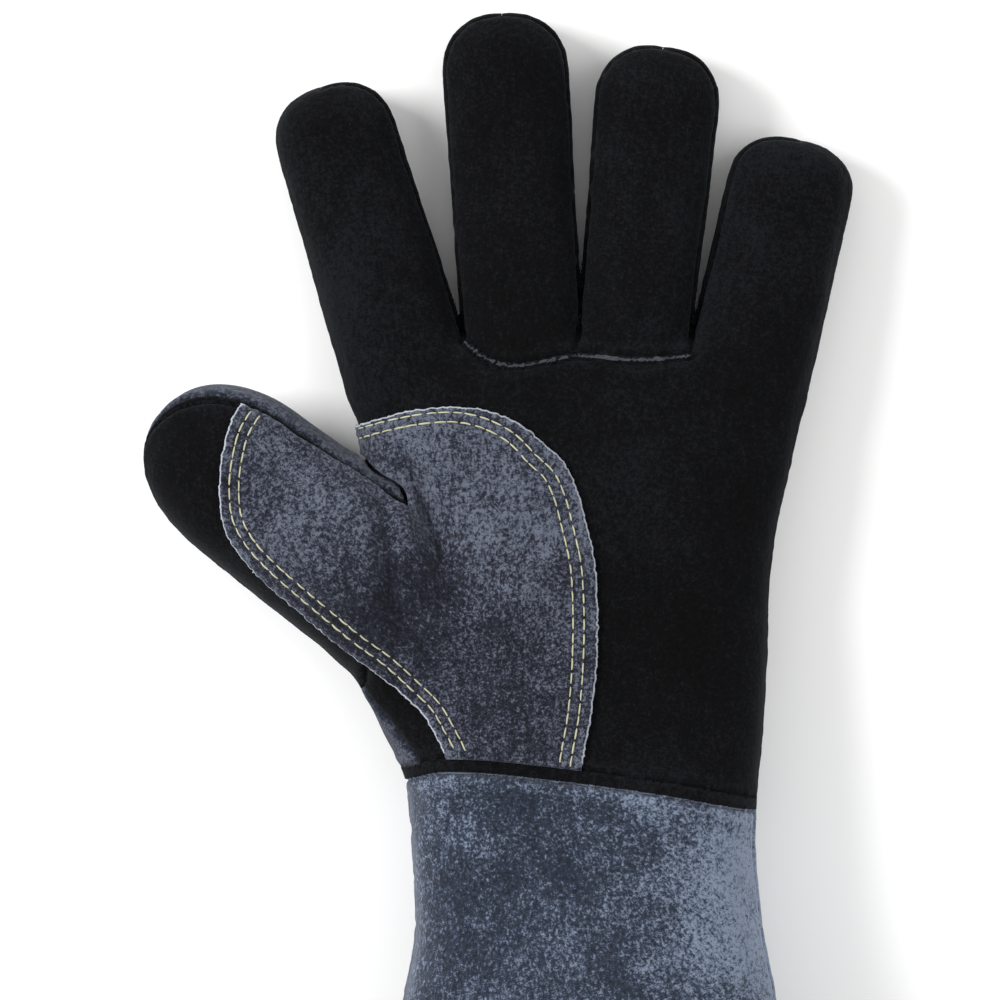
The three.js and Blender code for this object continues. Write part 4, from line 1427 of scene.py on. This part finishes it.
class SewnPieces:
    """What the operators that make sewn pieces have in common: their names, by colour."""

    bl_options = {"REGISTER", "UNDO"}
    black = ()
    grey = ()

    def execute(self, context):
        settings = context.scene.gauntlet_leather
        for name in self.black:
            material = piping() if name == "finger_base_welt" else black_suede()
            make_sewn_piece(name, settings, material, "black_suede")
        for name in self.grey:
            material = cuff_suede() if name.startswith("cuff") else slate_suede()
            make_sewn_piece(name, settings, material, "blue_grey_suede")
        return {"FINISHED"}


class GAUNTLET_OT_hand(SewnPieces, bpy.types.Operator):
    """Make the palm, the fingers and the back of the hand"""

    bl_idname = "gauntlet.hand"
    bl_label = "Hand and Fingers"
    black = PIECES[:8]
    grey = ("back_hand",)


class GAUNTLET_OT_thumb(SewnPieces, bpy.types.Operator):
    """Make the thumb's front, back and piping"""

    bl_idname = "gauntlet.thumb"
    bl_label = "Thumb"
    black = ("thumb_front", "thumb_welt")
    grey = ("thumb_back",)


class GAUNTLET_OT_cuff(SewnPieces, bpy.types.Operator):
    """Make the cuff and the band at the wrist"""

    bl_idname = "gauntlet.cuff"
    bl_label = "Cuff"
    black = ("wrist_welt",)
    grey = ("cuff_front", "cuff_back")


class GAUNTLET_OT_patch(bpy.types.Operator):
    """Make the reinforcement over thumb and palm"""

    bl_idname = "gauntlet.patch"
    bl_label = "Reinforcement"
    bl_options = {"REGISTER", "UNDO"}

    def execute(self, context):
        make_patch(context.scene.gauntlet_leather)
        return {"FINISHED"}


class GAUNTLET_OT_stitches(bpy.types.Operator):
    """Make the reinforcement's rows of stitches"""

    bl_idname = "gauntlet.stitches"
    bl_label = "Stitches"
    bl_options = {"REGISTER", "UNDO"}

    def execute(self, context):
        make_stitches(context.scene.gauntlet_leather, context.scene.gauntlet_stitches)
        return {"FINISHED"}


class GAUNTLET_OT_stage(bpy.types.Operator):
    """Make the floor, the lights and the camera"""

    bl_idname = "gauntlet.stage"
    bl_label = "Stage"
    bl_options = {"REGISTER", "UNDO"}

    def execute(self, context):
        settings = context.scene.gauntlet_stage
        make_floor()
        add_light("key_light", *KEY_LIGHT, settings.key_power)
        add_light("fill_light", *FILL_LIGHT, settings.key_power * FILL_SHARE)
        light_room(settings.room_light)
        context.scene.view_settings.view_transform = "Standard"
        place_camera(settings.focal_length, settings.view_width)
        return {"FINISHED"}


class GAUNTLET_PT_panel(bpy.types.Panel):
    """The glove's settings and operators in the 3D view's sidebar"""

    bl_label = "Welding Gauntlet"
    bl_idname = "GAUNTLET_PT_panel"
    bl_space_type = "VIEW_3D"
    bl_region_type = "UI"
    bl_category = "Gauntlet"

    def draw(self, context):
        for name in GROUPS:
            group = getattr(context.scene, name)
            box = self.layout.box()
            for key in group.__annotations__:
                box.prop(group, key)
        for operator in OPERATORS:
            self.layout.operator(operator.bl_idname)


GROUPS = {
    "gauntlet_leather": GauntletLeather,
    "gauntlet_stitches": GauntletStitches,
    "gauntlet_colours": GauntletColours,
    "gauntlet_stage": GauntletStage,
}
OPERATORS = (
    GAUNTLET_OT_hand,
    GAUNTLET_OT_thumb,
    GAUNTLET_OT_cuff,
    GAUNTLET_OT_patch,
    GAUNTLET_OT_stitches,
    GAUNTLET_OT_stage,
)


def register():
    for made in (*GROUPS.values(), *OPERATORS, GAUNTLET_PT_panel):
        bpy.utils.register_class(made)
    for name, group in GROUPS.items():
        setattr(bpy.types.Scene, name, bpy.props.PointerProperty(type=group))


def unregister():
    for name in GROUPS:
        delattr(bpy.types.Scene, name)
    for made in reversed((*GROUPS.values(), *OPERATORS, GAUNTLET_PT_panel)):
        bpy.utils.unregister_class(made)


def main():
    register()
    for step in ("hand", "thumb", "cuff", "patch", "stitches", "stage"):
        getattr(bpy.ops.gauntlet, step)()


if __name__ == "__main__":
    main()
